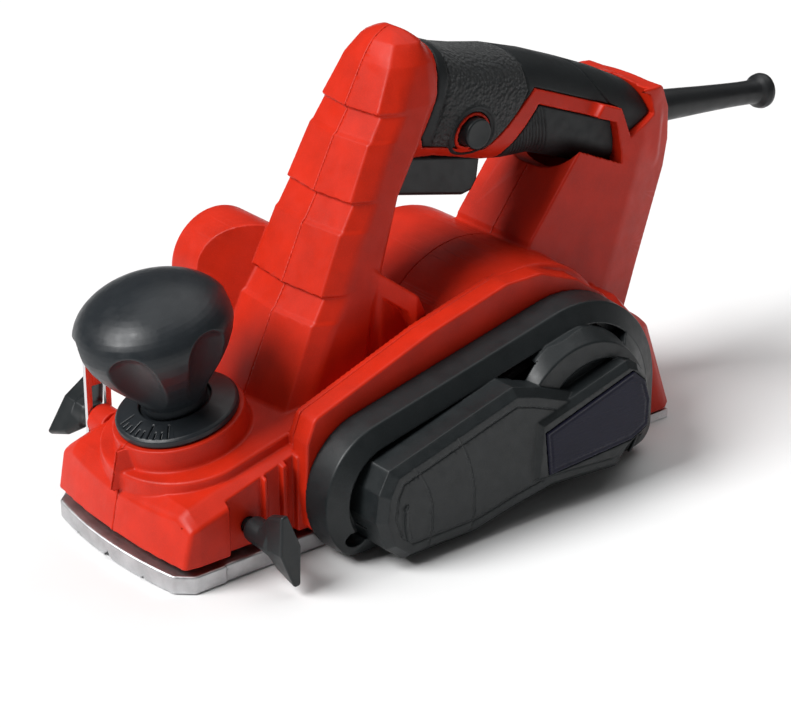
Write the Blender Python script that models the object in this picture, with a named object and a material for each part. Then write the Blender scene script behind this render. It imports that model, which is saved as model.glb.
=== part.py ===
"""Electric hand planer, 82 mm cut, as an assembly of separate named pieces.

Lengths below are millimetres; meshes are built in metres.
+X is the belt side (the operator's left), -Y the planing direction, +Z up.
The sole plane is z = 0 and the origin lies in it, at the middle of the rear sole.
"""
import math

import bmesh
import bpy
from mathutils import Matrix, Vector

MM = 0.001
GAP = 0.3                     # clearance kept between neighbouring pieces
WALL = 2.6                    # moulded shell thickness

# Soles
SOLE_HALF = 48.0              # half the sole width
FRONT_Y = -188.0
REAR_Y = 82.0
FRONT_SOLE_THICK = 8.0
REAR_SOLE_THICK = 4.0

# Cutter drum
DRUM = (-94.0, 24.0)          # (y, z) of the drum axis
TIP_RADIUS = 24.0             # the blade tips sweep down to the sole plane
DRUM_RADIUS = 22.0
DRUM_LEFT = 34.0
DRUM_RIGHT = -48.0            # 82 mm of blade, flush with the rebating side
BLADE_TURNS = (math.radians(70.0), math.radians(250.0))
MOUTH_FRONT = 12.5            # from the drum axis forward to the front shoe
MOUTH_REAR = 11.0             # and back to the rear shoe

# Motor
MOTOR = (-2.0, 46.0)          # (y, z) of the motor axis
STATOR_RADIUS = 33.0
MOTOR_SHELL_RADIUS = 48.0
MOTOR_SHELL_RIGHT = -52.0
DRUM_PULLEY = 12.5            # belt radii of the two pulleys
MOTOR_PULLEY = 18.0

# Housing
FRONT_SKIRT_Z = 11.5          # lower edge of the nose, clear of the rising shoe
REAR_SKIRT_Z = 4.6
FLANGE_FACE = 53.0            # face that the belt cover screws to
TUBE = (-91.5, 90.0)          # (y, z) of the chip outlet axis
TUBE_RADIUS = 23.0
TUBE_END = -58.0
TUBE_ROOT = -22.0             # where the tube runs into the front arm
TUBE_NECK = [(-113.5, 86.0), (-109.0, 48.0), (-70.0, 48.0), (-69.0, 90.0)]

# Depth knob
KNOB_TILT = 14.0              # degrees, leaning forward
RING_CENTRE = (0.0, -151.0, 56.0)
RING_RADIUS = 25.7
KNOB_RADIUS = 32.8
DECK_DROP = 11.0              # from the scale ring down to the raised deck

# Belt cover
COVER_FRONT = (-94.5, 27.6, 31.3)    # y, z, radius of the front end
COVER_REAR = (6.0, 34.5, 47.5)       # y, z, radius of the rear end
COVER_HEEL = (42.5, 14.0, 11.0)      # y, z, radius of its lower rear corner
COVER_FLOOR = 3.0
COVER_LEVELS = (53.3, 66.0, 70.5)    # x of the rim, shoulder and recess edge
COVER_PANEL_X = 86.5
COVER_SCREWS = [(-113.5, 12.5), (46.5, 18.0)]
COVER_SCREW_X = 60.0
PANEL_OUTLINE = [(-40.0, 8.0), (-20.0, 11.0), (18.0, 8.5), (30.0, 24.0), (20.0, 40.0), (-30.0, 60.0),
                 (-42.0, 63.5), (-106.0, 45.5), (-111.0, 36.0), (-112.5, 24.0), (-108.0, 11.0), (-99.0, 3.6),
                 (-62.0, 3.6)]
BADGE_BAR = [(-33.0, 18.0), (-31.0, 45.5), (19.0, 59.0), (25.5, 56.0), (31.5, 48.5), (33.6, 38.0), (33.0, 24.0),
             (14.0, 14.0)]
BADGE_PLATE = [(-25.0, 19.5), (-27.5, 40.0), (21.5, 54.5), (28.5, 48.5), (32.0, 38.5), (31.5, 26.5), (22.0, 22.0)]
COVER_WEB = [(21.0, 57.0), (35.0, 65.8), (43.5, 55.0), (47.5, 42.0), (48.0, 12.0), (20.0, 12.0)]

# Handle bar along its length: y, z of the top, z of the bottom, half width
HANDLE_RINGS = [
    (-54.0, 180.0, 141.0, 19.0),
    (-34.0, 193.5, 138.0, 20.5),
    (-22.0, 189.5, 135.0, 21.5),
    (-8.0, 184.0, 131.0, 22.0),
    (4.0, 181.0, 129.0, 21.5),
    (20.0, 178.0, 128.0, 20.5),
    (40.0, 172.0, 121.0, 20.0),
    (60.0, 164.5, 113.0, 20.5),
    (78.0, 157.0, 108.0, 21.5),
    (96.0, 147.5, 106.0, 22.0),
]
HANDLE_SIDES = 12
GRIP_DEPTH = 3.0
GRIP_OUTLINE = [(-24, 215), (-28, 193), (-31, 180), (-32.5, 170), (-39.5, 153), (-37, 147.5), (-5, 139.5),
                (22, 161.5), (69, 143.5), (75, 129.5), (89, 137), (80, 165), (60, 200)]
PAD_OUTLINE = [(24, 154), (66, 138), (70, 122), (70, 100), (5, 100), (5, 130), (8, 137)]

# Handle controls
LOCK_BUTTON = (-13.0, 150.0)  # (y, z)
BUTTON_RADIUS = 6.6
BUTTON_COLLAR = 8.5           # red rim left standing round the button
TRIGGER_PIVOT = (-51.0, 141.0)
TRIGGER_HALF = 9.0
SLEEVE_START = (0.0, 92.0, 131.0)
SLEEVE_AXIS = (0.0, 0.995, -0.1)

# Front shoe guide pins, motor vents and the screws that hold the halves together
GUIDE_PIN_X = 30.0
GUIDE_PIN_Y = -142.0
VENT_OFFSETS = (-32.0, -26.0, -20.0, -14.0, 14.0, 20.0, 26.0, 32.0)
HOUSING_SCREWS = [(-46.0, 186.0), (-75.0, 57.0), (45.5, 149.2), (93.0, 112.0), (66.0, 62.0),
                  (-117.0, 40.0)]
SCREW_HEAD = 3.0
SCREW_SHANK = 1.6
SCREW_HEAD_X = -12.0
SCREW_TIP_X = 11.0

# Wing screws
GUIDE_SCREW = (-149.0, 21.0)  # (y, z), on +X
STOP_SCREW = (-156.5, 34.0)   # (y, z), on -X
STOP_STRIP_X = (-53.2, -51.2)
STOP_FOOT_Z = 8.0

# Pieces whose near-flush cuts leave open edges with the EXACT solver
NEAR_FLUSH = ("housing", "sleeve", "handle_grip", "lower_grip_pad", "belt_cover")

RED = (0.62, 0.02, 0.015, 1.0)
BLACK = (0.02, 0.022, 0.024, 1.0)
SOFT_BLACK = (0.015, 0.017, 0.018, 1.0)
ALUMINIUM = (0.62, 0.63, 0.65, 1.0)
STEEL = (0.55, 0.55, 0.56, 1.0)
DARK_STEEL = (0.12, 0.12, 0.13, 1.0)
COPPER = (0.60, 0.26, 0.12, 1.0)
NAVY = (0.01, 0.01, 0.03, 1.0)
CARBON = (0.05, 0.05, 0.05, 1.0)


# ---------------------------------------------------------------- materials

def material(name, colour, roughness, metallic=0.0):
    """Return the named Principled material, made on first use."""
    found = bpy.data.materials.get(name)
    if found:
        return found
    made = bpy.data.materials.new(name)
    made.use_nodes = True
    shader = made.node_tree.nodes["Principled BSDF"]
    shader.inputs["Base Color"].default_value = colour
    shader.inputs["Roughness"].default_value = roughness
    shader.inputs["Metallic"].default_value = metallic
    return made


def red_plastic():
    return material("red_plastic", RED, 0.45)


def black_plastic():
    return material("black_plastic", BLACK, 0.5)


def soft_rubber():
    return material("soft_rubber", SOFT_BLACK, 0.7)


def aluminium():
    return material("aluminium", ALUMINIUM, 0.4, 1.0)


def steel():
    return material("steel", STEEL, 0.3, 1.0)


def dark_steel():
    return material("dark_steel", DARK_STEEL, 0.45, 1.0)


# ---------------------------------------------------------------- mesh tools

def finish_mesh(name, shape, finish=None):
    """Turn a bmesh in millimetres into a named object in metres."""
    bmesh.ops.recalc_face_normals(shape, faces=shape.faces)
    bmesh.ops.triangulate(shape, faces=shape.faces)
    bmesh.ops.scale(shape, vec=(MM, MM, MM), verts=shape.verts)
    mesh = bpy.data.meshes.new(name)
    shape.to_mesh(mesh)
    shape.free()
    obj = bpy.data.objects.new(name, mesh)
    bpy.context.scene.collection.objects.link(obj)
    if finish:
        mesh.materials.append(finish)
    return obj


def loft(name, rings, finish=None):
    """Join rings of points, all with the same count, into one closed solid."""
    shape = bmesh.new()
    rows = [[shape.verts.new(point) for point in ring] for ring in rings]
    count = len(rows[0])
    for near, far in zip(rows, rows[1:]):
        for i in range(count):
            j = (i + 1) % count
            shape.faces.new((near[i], near[j], far[j], far[i]))
    shape.faces.new(list(reversed(rows[0])))
    shape.faces.new(rows[-1])
    return finish_mesh(name, shape, finish)


def prism_x(name, outline, low, high, finish=None):
    """Extrude a (y, z) outline along X."""
    return loft(name, [[(x, y, z) for y, z in outline] for x in (low, high)], finish)


def prism_z(name, outline, low, high, finish=None):
    """Extrude an (x, y) outline along Z."""
    return loft(name, [[(x, y, z) for x, y in outline] for z in (low, high)], finish)


def box(name, low, high, finish=None):
    """Axis-aligned block between two corners."""
    outline = [(low[0], low[1]), (high[0], low[1]), (high[0], high[1]), (low[0], high[1])]
    return prism_z(name, outline, low[2], high[2], finish)


def circle(centre, radius, count, phase=0.0):
    """Points round a circle in the plane of its two coordinates."""
    step = 2.0 * math.pi / count
    return [(centre[0] + radius * math.cos(phase + i * step),
             centre[1] + radius * math.sin(phase + i * step)) for i in range(count)]


def turned(name, profile, centre, axis, count=32, finish=None):
    """Closed solid turned from (radius, height) pairs along an axis from centre."""
    upright = Vector(axis).to_track_quat('Z', 'Y').to_matrix()
    origin = Vector(centre)
    rings = []
    for radius, height in profile:
        ring = [upright @ Vector((x, y, height)) + origin for x, y in circle((0, 0), radius, count)]
        rings.append(ring)
    obj = loft(name, rings, finish)
    smooth(obj)
    return obj


def turned_ring(name, profile, centre, axis, count=32, finish=None):
    """Annular solid turned from a closed (radius, height) section."""
    upright = Vector(axis).to_track_quat('Z', 'Y').to_matrix()
    origin = Vector(centre)
    shape = bmesh.new()
    rows = []
    for i in range(count):
        angle = 2.0 * math.pi * i / count
        turn = Vector((math.cos(angle), math.sin(angle), 0.0))
        row = [shape.verts.new(upright @ (turn * r + Vector((0, 0, h))) + origin) for r, h in profile]
        rows.append(row)
    size = len(profile)
    for i in range(count):
        near, far = rows[i], rows[(i + 1) % count]
        for j in range(size):
            k = (j + 1) % size
            shape.faces.new((near[j], far[j], far[k], near[k]))
    obj = finish_mesh(name, shape, finish)
    smooth(obj)
    return obj


def rod_x(name, centre, radius, low, high, count=32, finish=None):
    """Round bar along X through (y, z)."""
    obj = prism_x(name, circle(centre, radius, count), low, high, finish)
    smooth(obj)
    return obj


def smooth(obj, degrees=35.0):
    obj.data.shade_smooth()
    obj.data.set_sharp_from_angle(angle=math.radians(degrees))


def boolean(target, tool, operation):
    """Apply a Boolean and remove the tool."""
    modifier = target.modifiers.new(operation, 'BOOLEAN')
    modifier.operation = operation
    modifier.solver = 'MANIFOLD' if target.name.startswith(NEAR_FLUSH) else 'EXACT'
    modifier.object = tool
    graph = bpy.context.evaluated_depsgraph_get()
    result = bpy.data.meshes.new_from_object(target.evaluated_get(graph))
    target.modifiers.clear()
    target.data = result
    bpy.data.objects.remove(tool)
    return target


def cut(target, *tools):
    for tool in tools:
        boolean(target, tool, 'DIFFERENCE')
    return target


def join(target, *tools):
    for tool in tools:
        boolean(target, tool, 'UNION')
    return target


def keep_common(target, tool):
    return boolean(target, tool, 'INTERSECT')


def merge_flat_faces(obj):
    """Merge stray points and coplanar faces that the Booleans leave."""
    shape = bmesh.new()
    shape.from_mesh(obj.data)
    bmesh.ops.remove_doubles(shape, verts=shape.verts, dist=0.00001)
    bmesh.ops.dissolve_degenerate(shape, edges=shape.edges, dist=0.00001)
    bmesh.ops.dissolve_limit(shape, angle_limit=math.radians(0.1), verts=shape.verts, edges=shape.edges)
    bmesh.ops.triangulate(shape, faces=shape.faces)
    shape.to_mesh(obj.data)
    shape.free()


def copy_of(obj, name):
    made = bpy.data.objects.new(name, obj.data.copy())
    bpy.context.scene.collection.objects.link(made)
    return made


def set_pivot(obj, point):
    """Move an object's origin to a point in millimetres, leaving its shape in place."""
    place = Vector(point) * MM
    obj.data.transform(Matrix.Translation(-place))
    obj.location = place
    return obj


def pivot_x(obj, centre):
    return set_pivot(obj, (0.0, centre[0], centre[1]))


def clip_above(outline, floor):
    """Cut a (y, z) outline off below a height."""
    kept = []
    for i, (y, z) in enumerate(outline):
        py, pz = outline[i - 1]
        if (z >= floor) != (pz >= floor):
            t = (floor - pz) / (z - pz)
            kept.append((py + t * (y - py), floor))
        if z >= floor:
            kept.append((y, z))
    return kept


def hull(points):
    """Convex hull of 2-D points, counter-clockwise."""
    points = sorted(points)
    chains = []
    for order in (points, points[::-1]):
        chain = []
        for p in order:
            while len(chain) > 1:
                (ax, ay), (bx, by) = chain[-2], chain[-1]
                if (bx - ax) * (p[1] - ay) - (by - ay) * (p[0] - ax) > 1e-9:
                    break
                chain.pop()
            chain.append(p)
        chains += chain[:-1]
    return chains


def inset_outline(outline, distance):
    """Move every side of a 2-D outline inward by a distance."""
    area = sum(a[0] * b[1] - b[0] * a[1] for a, b in zip(outline, outline[1:] + outline[:1]))
    points = [Vector(p) for p in (outline if area > 0 else outline[::-1])]
    moved = []
    for i, point in enumerate(points):
        before = (point - points[i - 1]).normalized()
        after = (points[(i + 1) % len(points)] - point).normalized()
        normal = Vector((-before.y, before.x)) + Vector((-after.y, after.x))
        moved.append(tuple(point + normal * (distance / (1.0 + before.dot(after)))))
    return moved


def cover_outline(inset, floor_inset=None, count=48):
    """Belt cover outline: the hull of its rounded ends, cut off flat above the sole."""
    points = []
    for y, z, radius in (COVER_FRONT, COVER_REAR, COVER_HEEL):
        points += circle((y, z), radius - inset, count)
    floor = COVER_FLOOR + (inset if floor_inset is None else floor_inset)
    return clip_above(hull(points), floor)


# ---------------------------------------------------------------- handle profile

def handle_ring(row, inset):
    """Superelliptic section of the handle bar, taller than wide."""
    y, top, bottom, half = row
    middle = 0.5 * (top + bottom)
    tall = 0.5 * (top - bottom) - inset
    wide = half - inset
    ring = []
    for i in range(HANDLE_SIDES):
        angle = 2.0 * math.pi * (i + 0.5) / HANDLE_SIDES
        c, s = math.cos(angle), math.sin(angle)
        px = wide * math.copysign(abs(c) ** 0.75, c)
        pz = tall * math.copysign(abs(s) ** 0.75, s)
        ring.append((px, y - 0.3 * pz * (1.0 if y < 90 else 0.0), middle + pz))
    return ring


def handle_bar(name, inset, finish=None):
    return loft(name, [handle_ring(row, inset) for row in HANDLE_RINGS], finish)


def grip_window(name, outline, shrink):
    """Prism through the handle that bounds one soft grip."""
    return prism_x(name, inset_outline(outline, shrink), -40.0, 40.0)


def soft_grip(name, outline):
    """Grip skin: the outer 3 mm of the handle bar inside its window."""
    skin = handle_bar(name, 0.0, soft_rubber())
    cut(skin, handle_bar("inner", GRIP_DEPTH))
    keep_common(skin, grip_window("window", outline, GAP))
    cut(skin, rod_x("collar", LOCK_BUTTON, BUTTON_COLLAR + GAP, -40.0, 40.0, 24))
    return skin


# ---------------------------------------------------------------- housing

def nose_ring(y_low, y_high, half, side_z, top_half, top_z, bottom_z):
    """Six-sided cross-section of the lower housing."""
    return [(-half, y_low, bottom_z), (half, y_low, bottom_z), (half, y_high, side_z),
            (top_half, y_high, top_z), (-top_half, y_high, top_z), (-half, y_high, side_z)]


def lower_body(name):
    """Front deck and base of the housing, from the nose to the heel."""
    rings = [
        nose_ring(-185.0, -181.5, 45.5, 26.0, 39.0, 28.5, FRONT_SKIRT_Z),
        nose_ring(-174.0, -174.0, 48.0, 28.5, 39.5, 34.5, FRONT_SKIRT_Z),
        nose_ring(-161.0, -161.0, 48.0, 32.5, 39.5, 39.0, FRONT_SKIRT_Z),
        nose_ring(-121.0, -121.0, 48.0, 48.0, 39.5, 52.5, FRONT_SKIRT_Z),
        nose_ring(-70.0, -70.0, 48.0, 61.0, 39.5, 67.0, FRONT_SKIRT_Z),
        nose_ring(-69.0, -69.0, 48.0, 61.0, 39.5, 67.0, REAR_SKIRT_Z),
        nose_ring(0.0, 0.0, 48.0, 70.0, 39.5, 76.0, REAR_SKIRT_Z),
        nose_ring(56.0, 54.0, 48.0, 60.0, 39.5, 65.0, REAR_SKIRT_Z),
        nose_ring(80.0, 63.5, 48.0, 50.0, 41.0, 54.0, REAR_SKIRT_Z),
        nose_ring(86.5, 71.5, 43.5, 46.0, 38.0, 49.0, REAR_SKIRT_Z),
    ]
    return loft(name, rings)


def raised_deck(name):
    """Plate round the knob, sloping with the knob's tilt."""
    slope = math.tan(math.radians(KNOB_TILT))
    front = [(38.5 * math.sin(a), -150.0 - 30.5 * math.cos(a))
             for a in (math.radians(d) for d in range(-90, 91, 15))]
    outline = front + [(39.0, -85.0), (-39.0, -85.0)]
    top = [(x, y, 45.2 + slope * (y + 148.3)) for x, y in outline]
    low = [(x * 0.99, y, 20.0) for x, y in outline]
    return loft(name, [low, top])


def arm_ring(z, front, rear, half):
    """Cross-section of the front arm: crowned front, chamfers, flat sides."""
    side = half + 4.5
    return [(0.0, front - 1.2, z), (half, front, z), (side, front + 9.0, z), (side, rear - 3.0, z),
            (side - 4.0, rear, z), (4.0 - side, rear, z), (-side, rear - 3.0, z), (-side, front + 9.0, z),
            (-half, front, z)]


def front_arm(name):
    rings = [
        arm_ring(45.0, -119.0, -76.0, 26.0),
        arm_ring(88.0, -100.0, -69.0, 24.5),
        arm_ring(133.0, -79.0, -54.0, 21.5),
        arm_ring(152.0, -69.5, -42.0, 20.0),
        arm_ring(168.0, -61.5, -34.0, 18.5),
        arm_ring(184.0, -53.0, -33.0, 16.0),
        arm_ring(192.0, -47.5, -35.0, 12.0),
        arm_ring(196.5, -43.0, -38.0, 6.0),
    ]
    return loft(name, rings)


def rear_arm(name):
    """Rear post of the handle, wide in side view and chamfered behind."""
    side = [(5.0, 60.0), (17.0, 94.0), (41.0, 125.0), (60.0, 150.0), (94.0, 149.0), (101.0, 137.0),
            (103.5, 121.0), (102.0, 108.0), (88.0, 66.0), (80.0, 40.0), (20.0, 30.0)]
    narrow = [(y - (4.0 if y > 75 else 0.0), z) for y, z in side]
    rings = [[(x, y, z) for y, z in outline] for x, outline in
             ((-24.5, narrow), (-20.0, side), (20.0, side), (24.5, narrow))]
    return loft(name, rings)


def belt_flange(name):
    """Side wall that carries the belt cover, raised round it."""
    outline = [(-124.0, FRONT_SKIRT_Z), (-126.0, 30.0), (-125.0, 52.0), (-121.0, 62.0), (-61.0, 83.5),
               (-21.0, 94.0), (-2.0, 94.0), (19.0, 86.0), (34.0, 75.5), (48.0, 60.0), (54.3, 44.0),
               (56.0, REAR_SKIRT_Z), (-80.0, REAR_SKIRT_Z), (-101.0, 8.0), (-103.5, FRONT_SKIRT_Z)]
    return prism_x(name, outline, 38.0, FLANGE_FACE)


def motor_shell(name):
    outline = clip_above(circle(MOTOR, MOTOR_SHELL_RADIUS, 32), REAR_SKIRT_Z)
    narrow = clip_above(circle(MOTOR, MOTOR_SHELL_RADIUS - 4.0, 32), REAR_SKIRT_Z)
    shell = prism_x(name, outline, MOTOR_SHELL_RIGHT + 5.0, 44.0)
    return join(shell, prism_x("end", narrow, MOTOR_SHELL_RIGHT, 0.0))


def housing_outer():
    body = lower_body("housing")
    axis = knob_axis()
    collar = turned("collar", [(28.8, -DECK_DROP - 6.0), (27.6, -1.6)], RING_CENTRE, axis, 32)
    boss = rod_x("boss", DRUM, 17.0, -61.0, -30.0, 24)
    join(boss, rod_x("drum_wall", DRUM, 31.0, -52.5, -30.0, 28))
    cut(boss, box("under", (-70.0, -130.0, -10.0), (-20.0, -60.0, FRONT_SKIRT_Z)))
    tube = rod_x("tube", TUBE, TUBE_RADIUS, TUBE_END, TUBE_ROOT, 28)
    join(tube, prism_x("neck", TUBE_NECK, TUBE_END + 8.5, TUBE_ROOT))
    join(body, raised_deck("deck"), collar, belt_flange("flange"), motor_shell("motor"), tube, boss)
    join(body, front_arm("arm"), rear_arm("rear"), handle_bar("bar", 0.0))
    join(body, rod_x("stop_boss", STOP_SCREW, 7.0, STOP_STRIP_X[1] + GAP, -40.0, 24))
    return body


def knob_axis():
    tilt = math.radians(KNOB_TILT)
    return Vector((0.0, -math.sin(tilt), math.cos(tilt)))


def hollow(body):
    """Open the moulded shell from inside: nose, chip path, motor room and handle."""
    nose = [nose_ring(-182.0, -178.5, 42.5, 22.0, 36.5, 25.5, 4.0),
            nose_ring(-171.0, -171.0, 45.2, 25.0, 36.5, 31.0, 4.0),
            nose_ring(-161.0, -161.0, 45.2, 29.0, 36.5, 35.5, 4.0),
            nose_ring(-124.0, -124.0, 45.2, 43.0, 36.5, 47.0, 4.0)]
    cut(body, loft("nose_room", nose))
    chamber = rod_x("chamber", DRUM, 27.5, DRUM_RIGHT - 1.5, DRUM_LEFT + 1.5, 28)
    mouth = box("mouth", (DRUM_RIGHT - 6.0, -121.5, -5.0), (DRUM_LEFT + 1.5, -66.0, 12.0))
    cut(body, chamber, mouth)
    cut(body, rod_x("tube_bore", TUBE, TUBE_RADIUS - WALL, TUBE_END - 2.0, TUBE_ROOT - 5.0, 24))
    cut(body, box("chute", (-46.0, -104.0, 40.0), (TUBE_ROOT - 5.0, -80.0, 80.0)))
    cut(body, rod_x("motor_room", MOTOR, MOTOR_SHELL_RADIUS - 7.0, -48.0, 40.0, 28))
    cut(body, box("base_room", (-45.0, -50.0, 0.0), (40.0, 72.0, 26.0)))
    arm = [arm_ring(96.0, -92.0, -71.0, 20.0), arm_ring(133.0, -75.0, -58.0, 17.5),
           arm_ring(176.0, -53.0, -38.0, 13.0)]
    cut(body, loft("arm_room", arm))
    cut(body, handle_room("handle_room"))
    post = [(36.0, 100.0), (56.0, 128.0), (90.0, 140.0), (96.0, 118.0), (82.0, 70.0), (30.0, 60.0)]
    cut(body, prism_x("post_room", post, -20.0, 20.0))
    join(body, rod_x("motor_seat", MOTOR, 12.0, -50.0, -41.0, 24))
    for x in (-GUIDE_PIN_X, GUIDE_PIN_X):
        pillar = turned("pillar", [(6.0, 17.0), (6.0, 44.0)], (x, GUIDE_PIN_Y, 0.0), (0, 0, 1), 20)
        bore = turned("bore", [(3.3, 10.0), (3.3, 34.0)], (x, GUIDE_PIN_Y, 0.0), (0, 0, 1), 20)
        join(body, pillar)
        cut(body, bore)
    return body


def handle_room(name):
    """Switch and cable room inside the handle bar."""
    rings = []
    for y, top, bottom, half in HANDLE_RINGS[:-1]:
        rings.append([(s * (half - 7.0), y, z) for s, z in
                      ((-1, bottom + 7.5), (1, bottom + 7.5), (1, top - 9.0), (-1, top - 9.0))])
    return loft(name, rings)


def cut_bores(body):
    """Bearing seats, spindle hole, screw holes, trigger slot, button hole and cable exit."""
    cut(body, rod_x("seat_a", DRUM, 13.3, DRUM_LEFT, 43.0, 32))
    cut(body, rod_x("seat_b", DRUM, 11.3, -58.0, DRUM_RIGHT, 32))
    cut(body, rod_x("drum_exit", DRUM, 8.0, 40.0, 60.0, 24))
    cut(body, rod_x("motor_seat_a", MOTOR, 11.3, 38.0, 46.0, 32))
    cut(body, rod_x("motor_exit", MOTOR, 7.0, 44.0, 60.0, 24))
    cut(body, turned("spindle_hole", [(6.0, -60.0), (6.0, 5.0)], RING_CENTRE, knob_axis(), 24))
    cut(body, rod_x("guide_hole", GUIDE_SCREW, 3.3, 36.0, 52.0, 20))
    cut(body, rod_x("stop_hole", STOP_SCREW, 3.3, -55.0, -40.0, 20))
    cut(body, rod_x("motor_seat_b", MOTOR, 8.3, -48.0, -38.0, 28))
    slot = TRIGGER_HALF + 0.6
    cut(body, box("trigger_slot", (-slot, -57.0, 105.0), (slot, 3.5, 147.0)))
    cut(body, rod_x("button_hole", LOCK_BUTTON, 7.1, -30.0, 30.0, 28))
    cable = turned("cable_hole", [(7.8, -30.0), (7.8, 20.0)], SLEEVE_START, SLEEVE_AXIS, 24)
    cut(body, cable)
    for y, z in COVER_SCREWS:
        cut(body, rod_x("cover_hole", (y, z), 1.9, 44.0, 60.0, 10))
    for offset in VENT_OFFSETS:
        tall = 0.8 * math.sqrt(38.0 ** 2 - offset ** 2)
        low = (-60.0, MOTOR[0] + offset - 1.6, MOTOR[1] - tall)
        high = (-45.0, MOTOR[0] + offset + 1.6, MOTOR[1] + tall)
        cut(body, box("vent", low, high))
    for y, z in HOUSING_SCREWS:
        cut(body, rod_x("shank_hole", (y, z), SCREW_SHANK + GAP, -60.0, SCREW_TIP_X + 1.0, 10))
        cut(body, rod_x("head_hole", (y, z), SCREW_HEAD + GAP, -60.0, SCREW_HEAD_X, 14))


def relief_for_grips(body):
    """Sink the soft grips flush into the handle bar."""
    for outline in (GRIP_OUTLINE, PAD_OUTLINE):
        sleeve = handle_bar("sleeve", -6.0)
        cut(sleeve, handle_bar("core", GRIP_DEPTH + GAP))
        keep_common(sleeve, grip_window("window", outline, 0.0))
        cut(sleeve, rod_x("collar", LOCK_BUTTON, BUTTON_COLLAR, -40.0, 40.0, 24))
        cut(body, sleeve)


def make_housing():
    """Both moulded halves, parted on the centre plane."""
    body = housing_outer()
    hollow(body)
    cut_bores(body)
    relief_for_grips(body)
    right = copy_of(body, "housing_right")
    body.name = "housing_left"
    cut(body, box("half_a", (-120.0, -250.0, -50.0), (0.15, 250.0, 260.0)))
    cut(right, box("half_b", (-0.15, -250.0, -50.0), (120.0, 250.0, 260.0)))
    for obj in (body, right):
        merge_flat_faces(obj)
        obj.data.materials.clear()
        obj.data.materials.append(red_plastic())


# ---------------------------------------------------------------- soles and depth control

def front_shoe():
    """Rising front sole with a bowed leading edge, chamfered corners and V grooves."""
    bow = [(x, FRONT_Y + 4.2 * (x / 42.0) ** 2) for x in (-42, -28, -14, 0, 14, 28, 42)]
    rear = DRUM[0] - MOUTH_FRONT
    outline = bow + [(SOLE_HALF, FRONT_Y + 11.0), (SOLE_HALF, rear), (-SOLE_HALF, rear),
                     (-SOLE_HALF, FRONT_Y + 11.0)]
    shoe = prism_z("front_shoe", outline, 0.0, FRONT_SOLE_THICK, aluminium())
    step = box("step", (SOLE_HALF - 0.8, FRONT_Y + 26.0, -2.0), (SOLE_HALF + 2.0, rear + 2.0, 12.0))
    slant = prism_x("slant", [(rear, -1.0), (rear + 2.0, -1.0), (rear + 2.0, 12.0), (rear - 10.0, 12.0)],
                    -60.0, 60.0)
    cut(shoe, step, slant)
    for x, wide in ((-24.0, 1.6), (0.0, 3.2), (24.0, 1.6)):
        groove = [(x - wide, -0.5), (x + wide, -0.5), (x, wide)]
        cut(shoe, loft("groove", [[(px, y, pz) for px, pz in groove] for y in (FRONT_Y - 9.0, rear + 9.0)]))
    boss = turned("boss", [(11.0, 6.0), (11.0, 24.0)], (0.0, -142.0, 0.0), (0, 0, 1), 24)
    join(shoe, boss)
    cut(shoe, turned("spindle_bore", [(5.6, -46.5), (5.6, -20.0)], RING_CENTRE, knob_axis(), 20))
    return shoe


def guide_pin(name, x):
    return turned(name, [(3.0, FRONT_SOLE_THICK + GAP), (3.0, 29.0)], (x, GUIDE_PIN_Y, 0.0), (0, 0, 1), 16,
                  steel())


def depth_spring():
    """Compression spring round the spindle boss, between shoe and deck."""
    coil_radius, wire, turns = 14.0, 0.9, 4.0
    low, high, steps = 9.6, 30.0, 36
    shape = bmesh.new()
    rows = []
    for i in range(steps + 1):
        t = i / steps
        angle = 2.0 * math.pi * turns * t
        out = Vector((math.cos(angle), math.sin(angle), 0.0))
        middle = Vector((0.0, -142.0, low + (high - low) * t)) + out * coil_radius
        rows.append([shape.verts.new(middle + (out * math.cos(a) + Vector((0, 0, math.sin(a)))) * wire)
                     for a in (k * math.pi / 2.5 for k in range(5))])
    for near, far in zip(rows, rows[1:]):
        for j in range(5):
            shape.faces.new((near[j], near[(j + 1) % 5], far[(j + 1) % 5], far[j]))
    shape.faces.new(rows[0])
    shape.faces.new(rows[-1])
    obj = finish_mesh("depth_spring", shape, steel())
    smooth(obj, 80.0)
    return obj


def rear_shoe():
    """Aluminium rear sole with stiffening ribs."""
    front = DRUM[0] + MOUTH_REAR
    side = [(front, 0.0), (REAR_Y, 0.0), (REAR_Y, REAR_SOLE_THICK), (front + 3.5, REAR_SOLE_THICK)]
    shoe = prism_x("rear_shoe", side, -SOLE_HALF, SOLE_HALF, aluminium())
    for x in (-38.0, -20.0, 20.0, 36.0):
        join(shoe, box("rib", (x - 1.5, -48.0, REAR_SOLE_THICK - 1.0), (x + 1.5, 68.0, 10.0)))
    return shoe


def depth_knob():
    """Domed front knob with six finger scallops."""
    profile = [(13.6, 3.6), (14.2, 8.0), (22.5, 20.0), (30.5, 32.0), (KNOB_RADIUS, 37.0), (31.4, 44.5),
               (25.0, 52.5), (12.0, 58.5)]
    knob = turned("depth_knob", profile, RING_CENTRE, knob_axis(), 30, black_plastic())
    upright = knob_axis().to_track_quat('Z', 'Y').to_matrix()
    for k in range(6):
        angle = math.radians(60.0 * k + 6.0)
        out = Vector((math.cos(angle), math.sin(angle), 0.0))
        start = upright @ (out * 40.0 + Vector((0, 0, 38.0))) + Vector(RING_CENTRE)
        lean = upright @ (Vector((0, 0, 1.0)) + out * 0.55).normalized()
        scoop = turned("scoop", [(6.0, 4.5), (12.0, -2.0), (12.5, -40.0)], start, lean, 14)
        cut(knob, scoop)
    cut(knob, turned("socket", [(4.4, 0.0), (4.4, 20.0)], RING_CENTRE, knob_axis(), 16))
    smooth(knob)
    return knob


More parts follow.
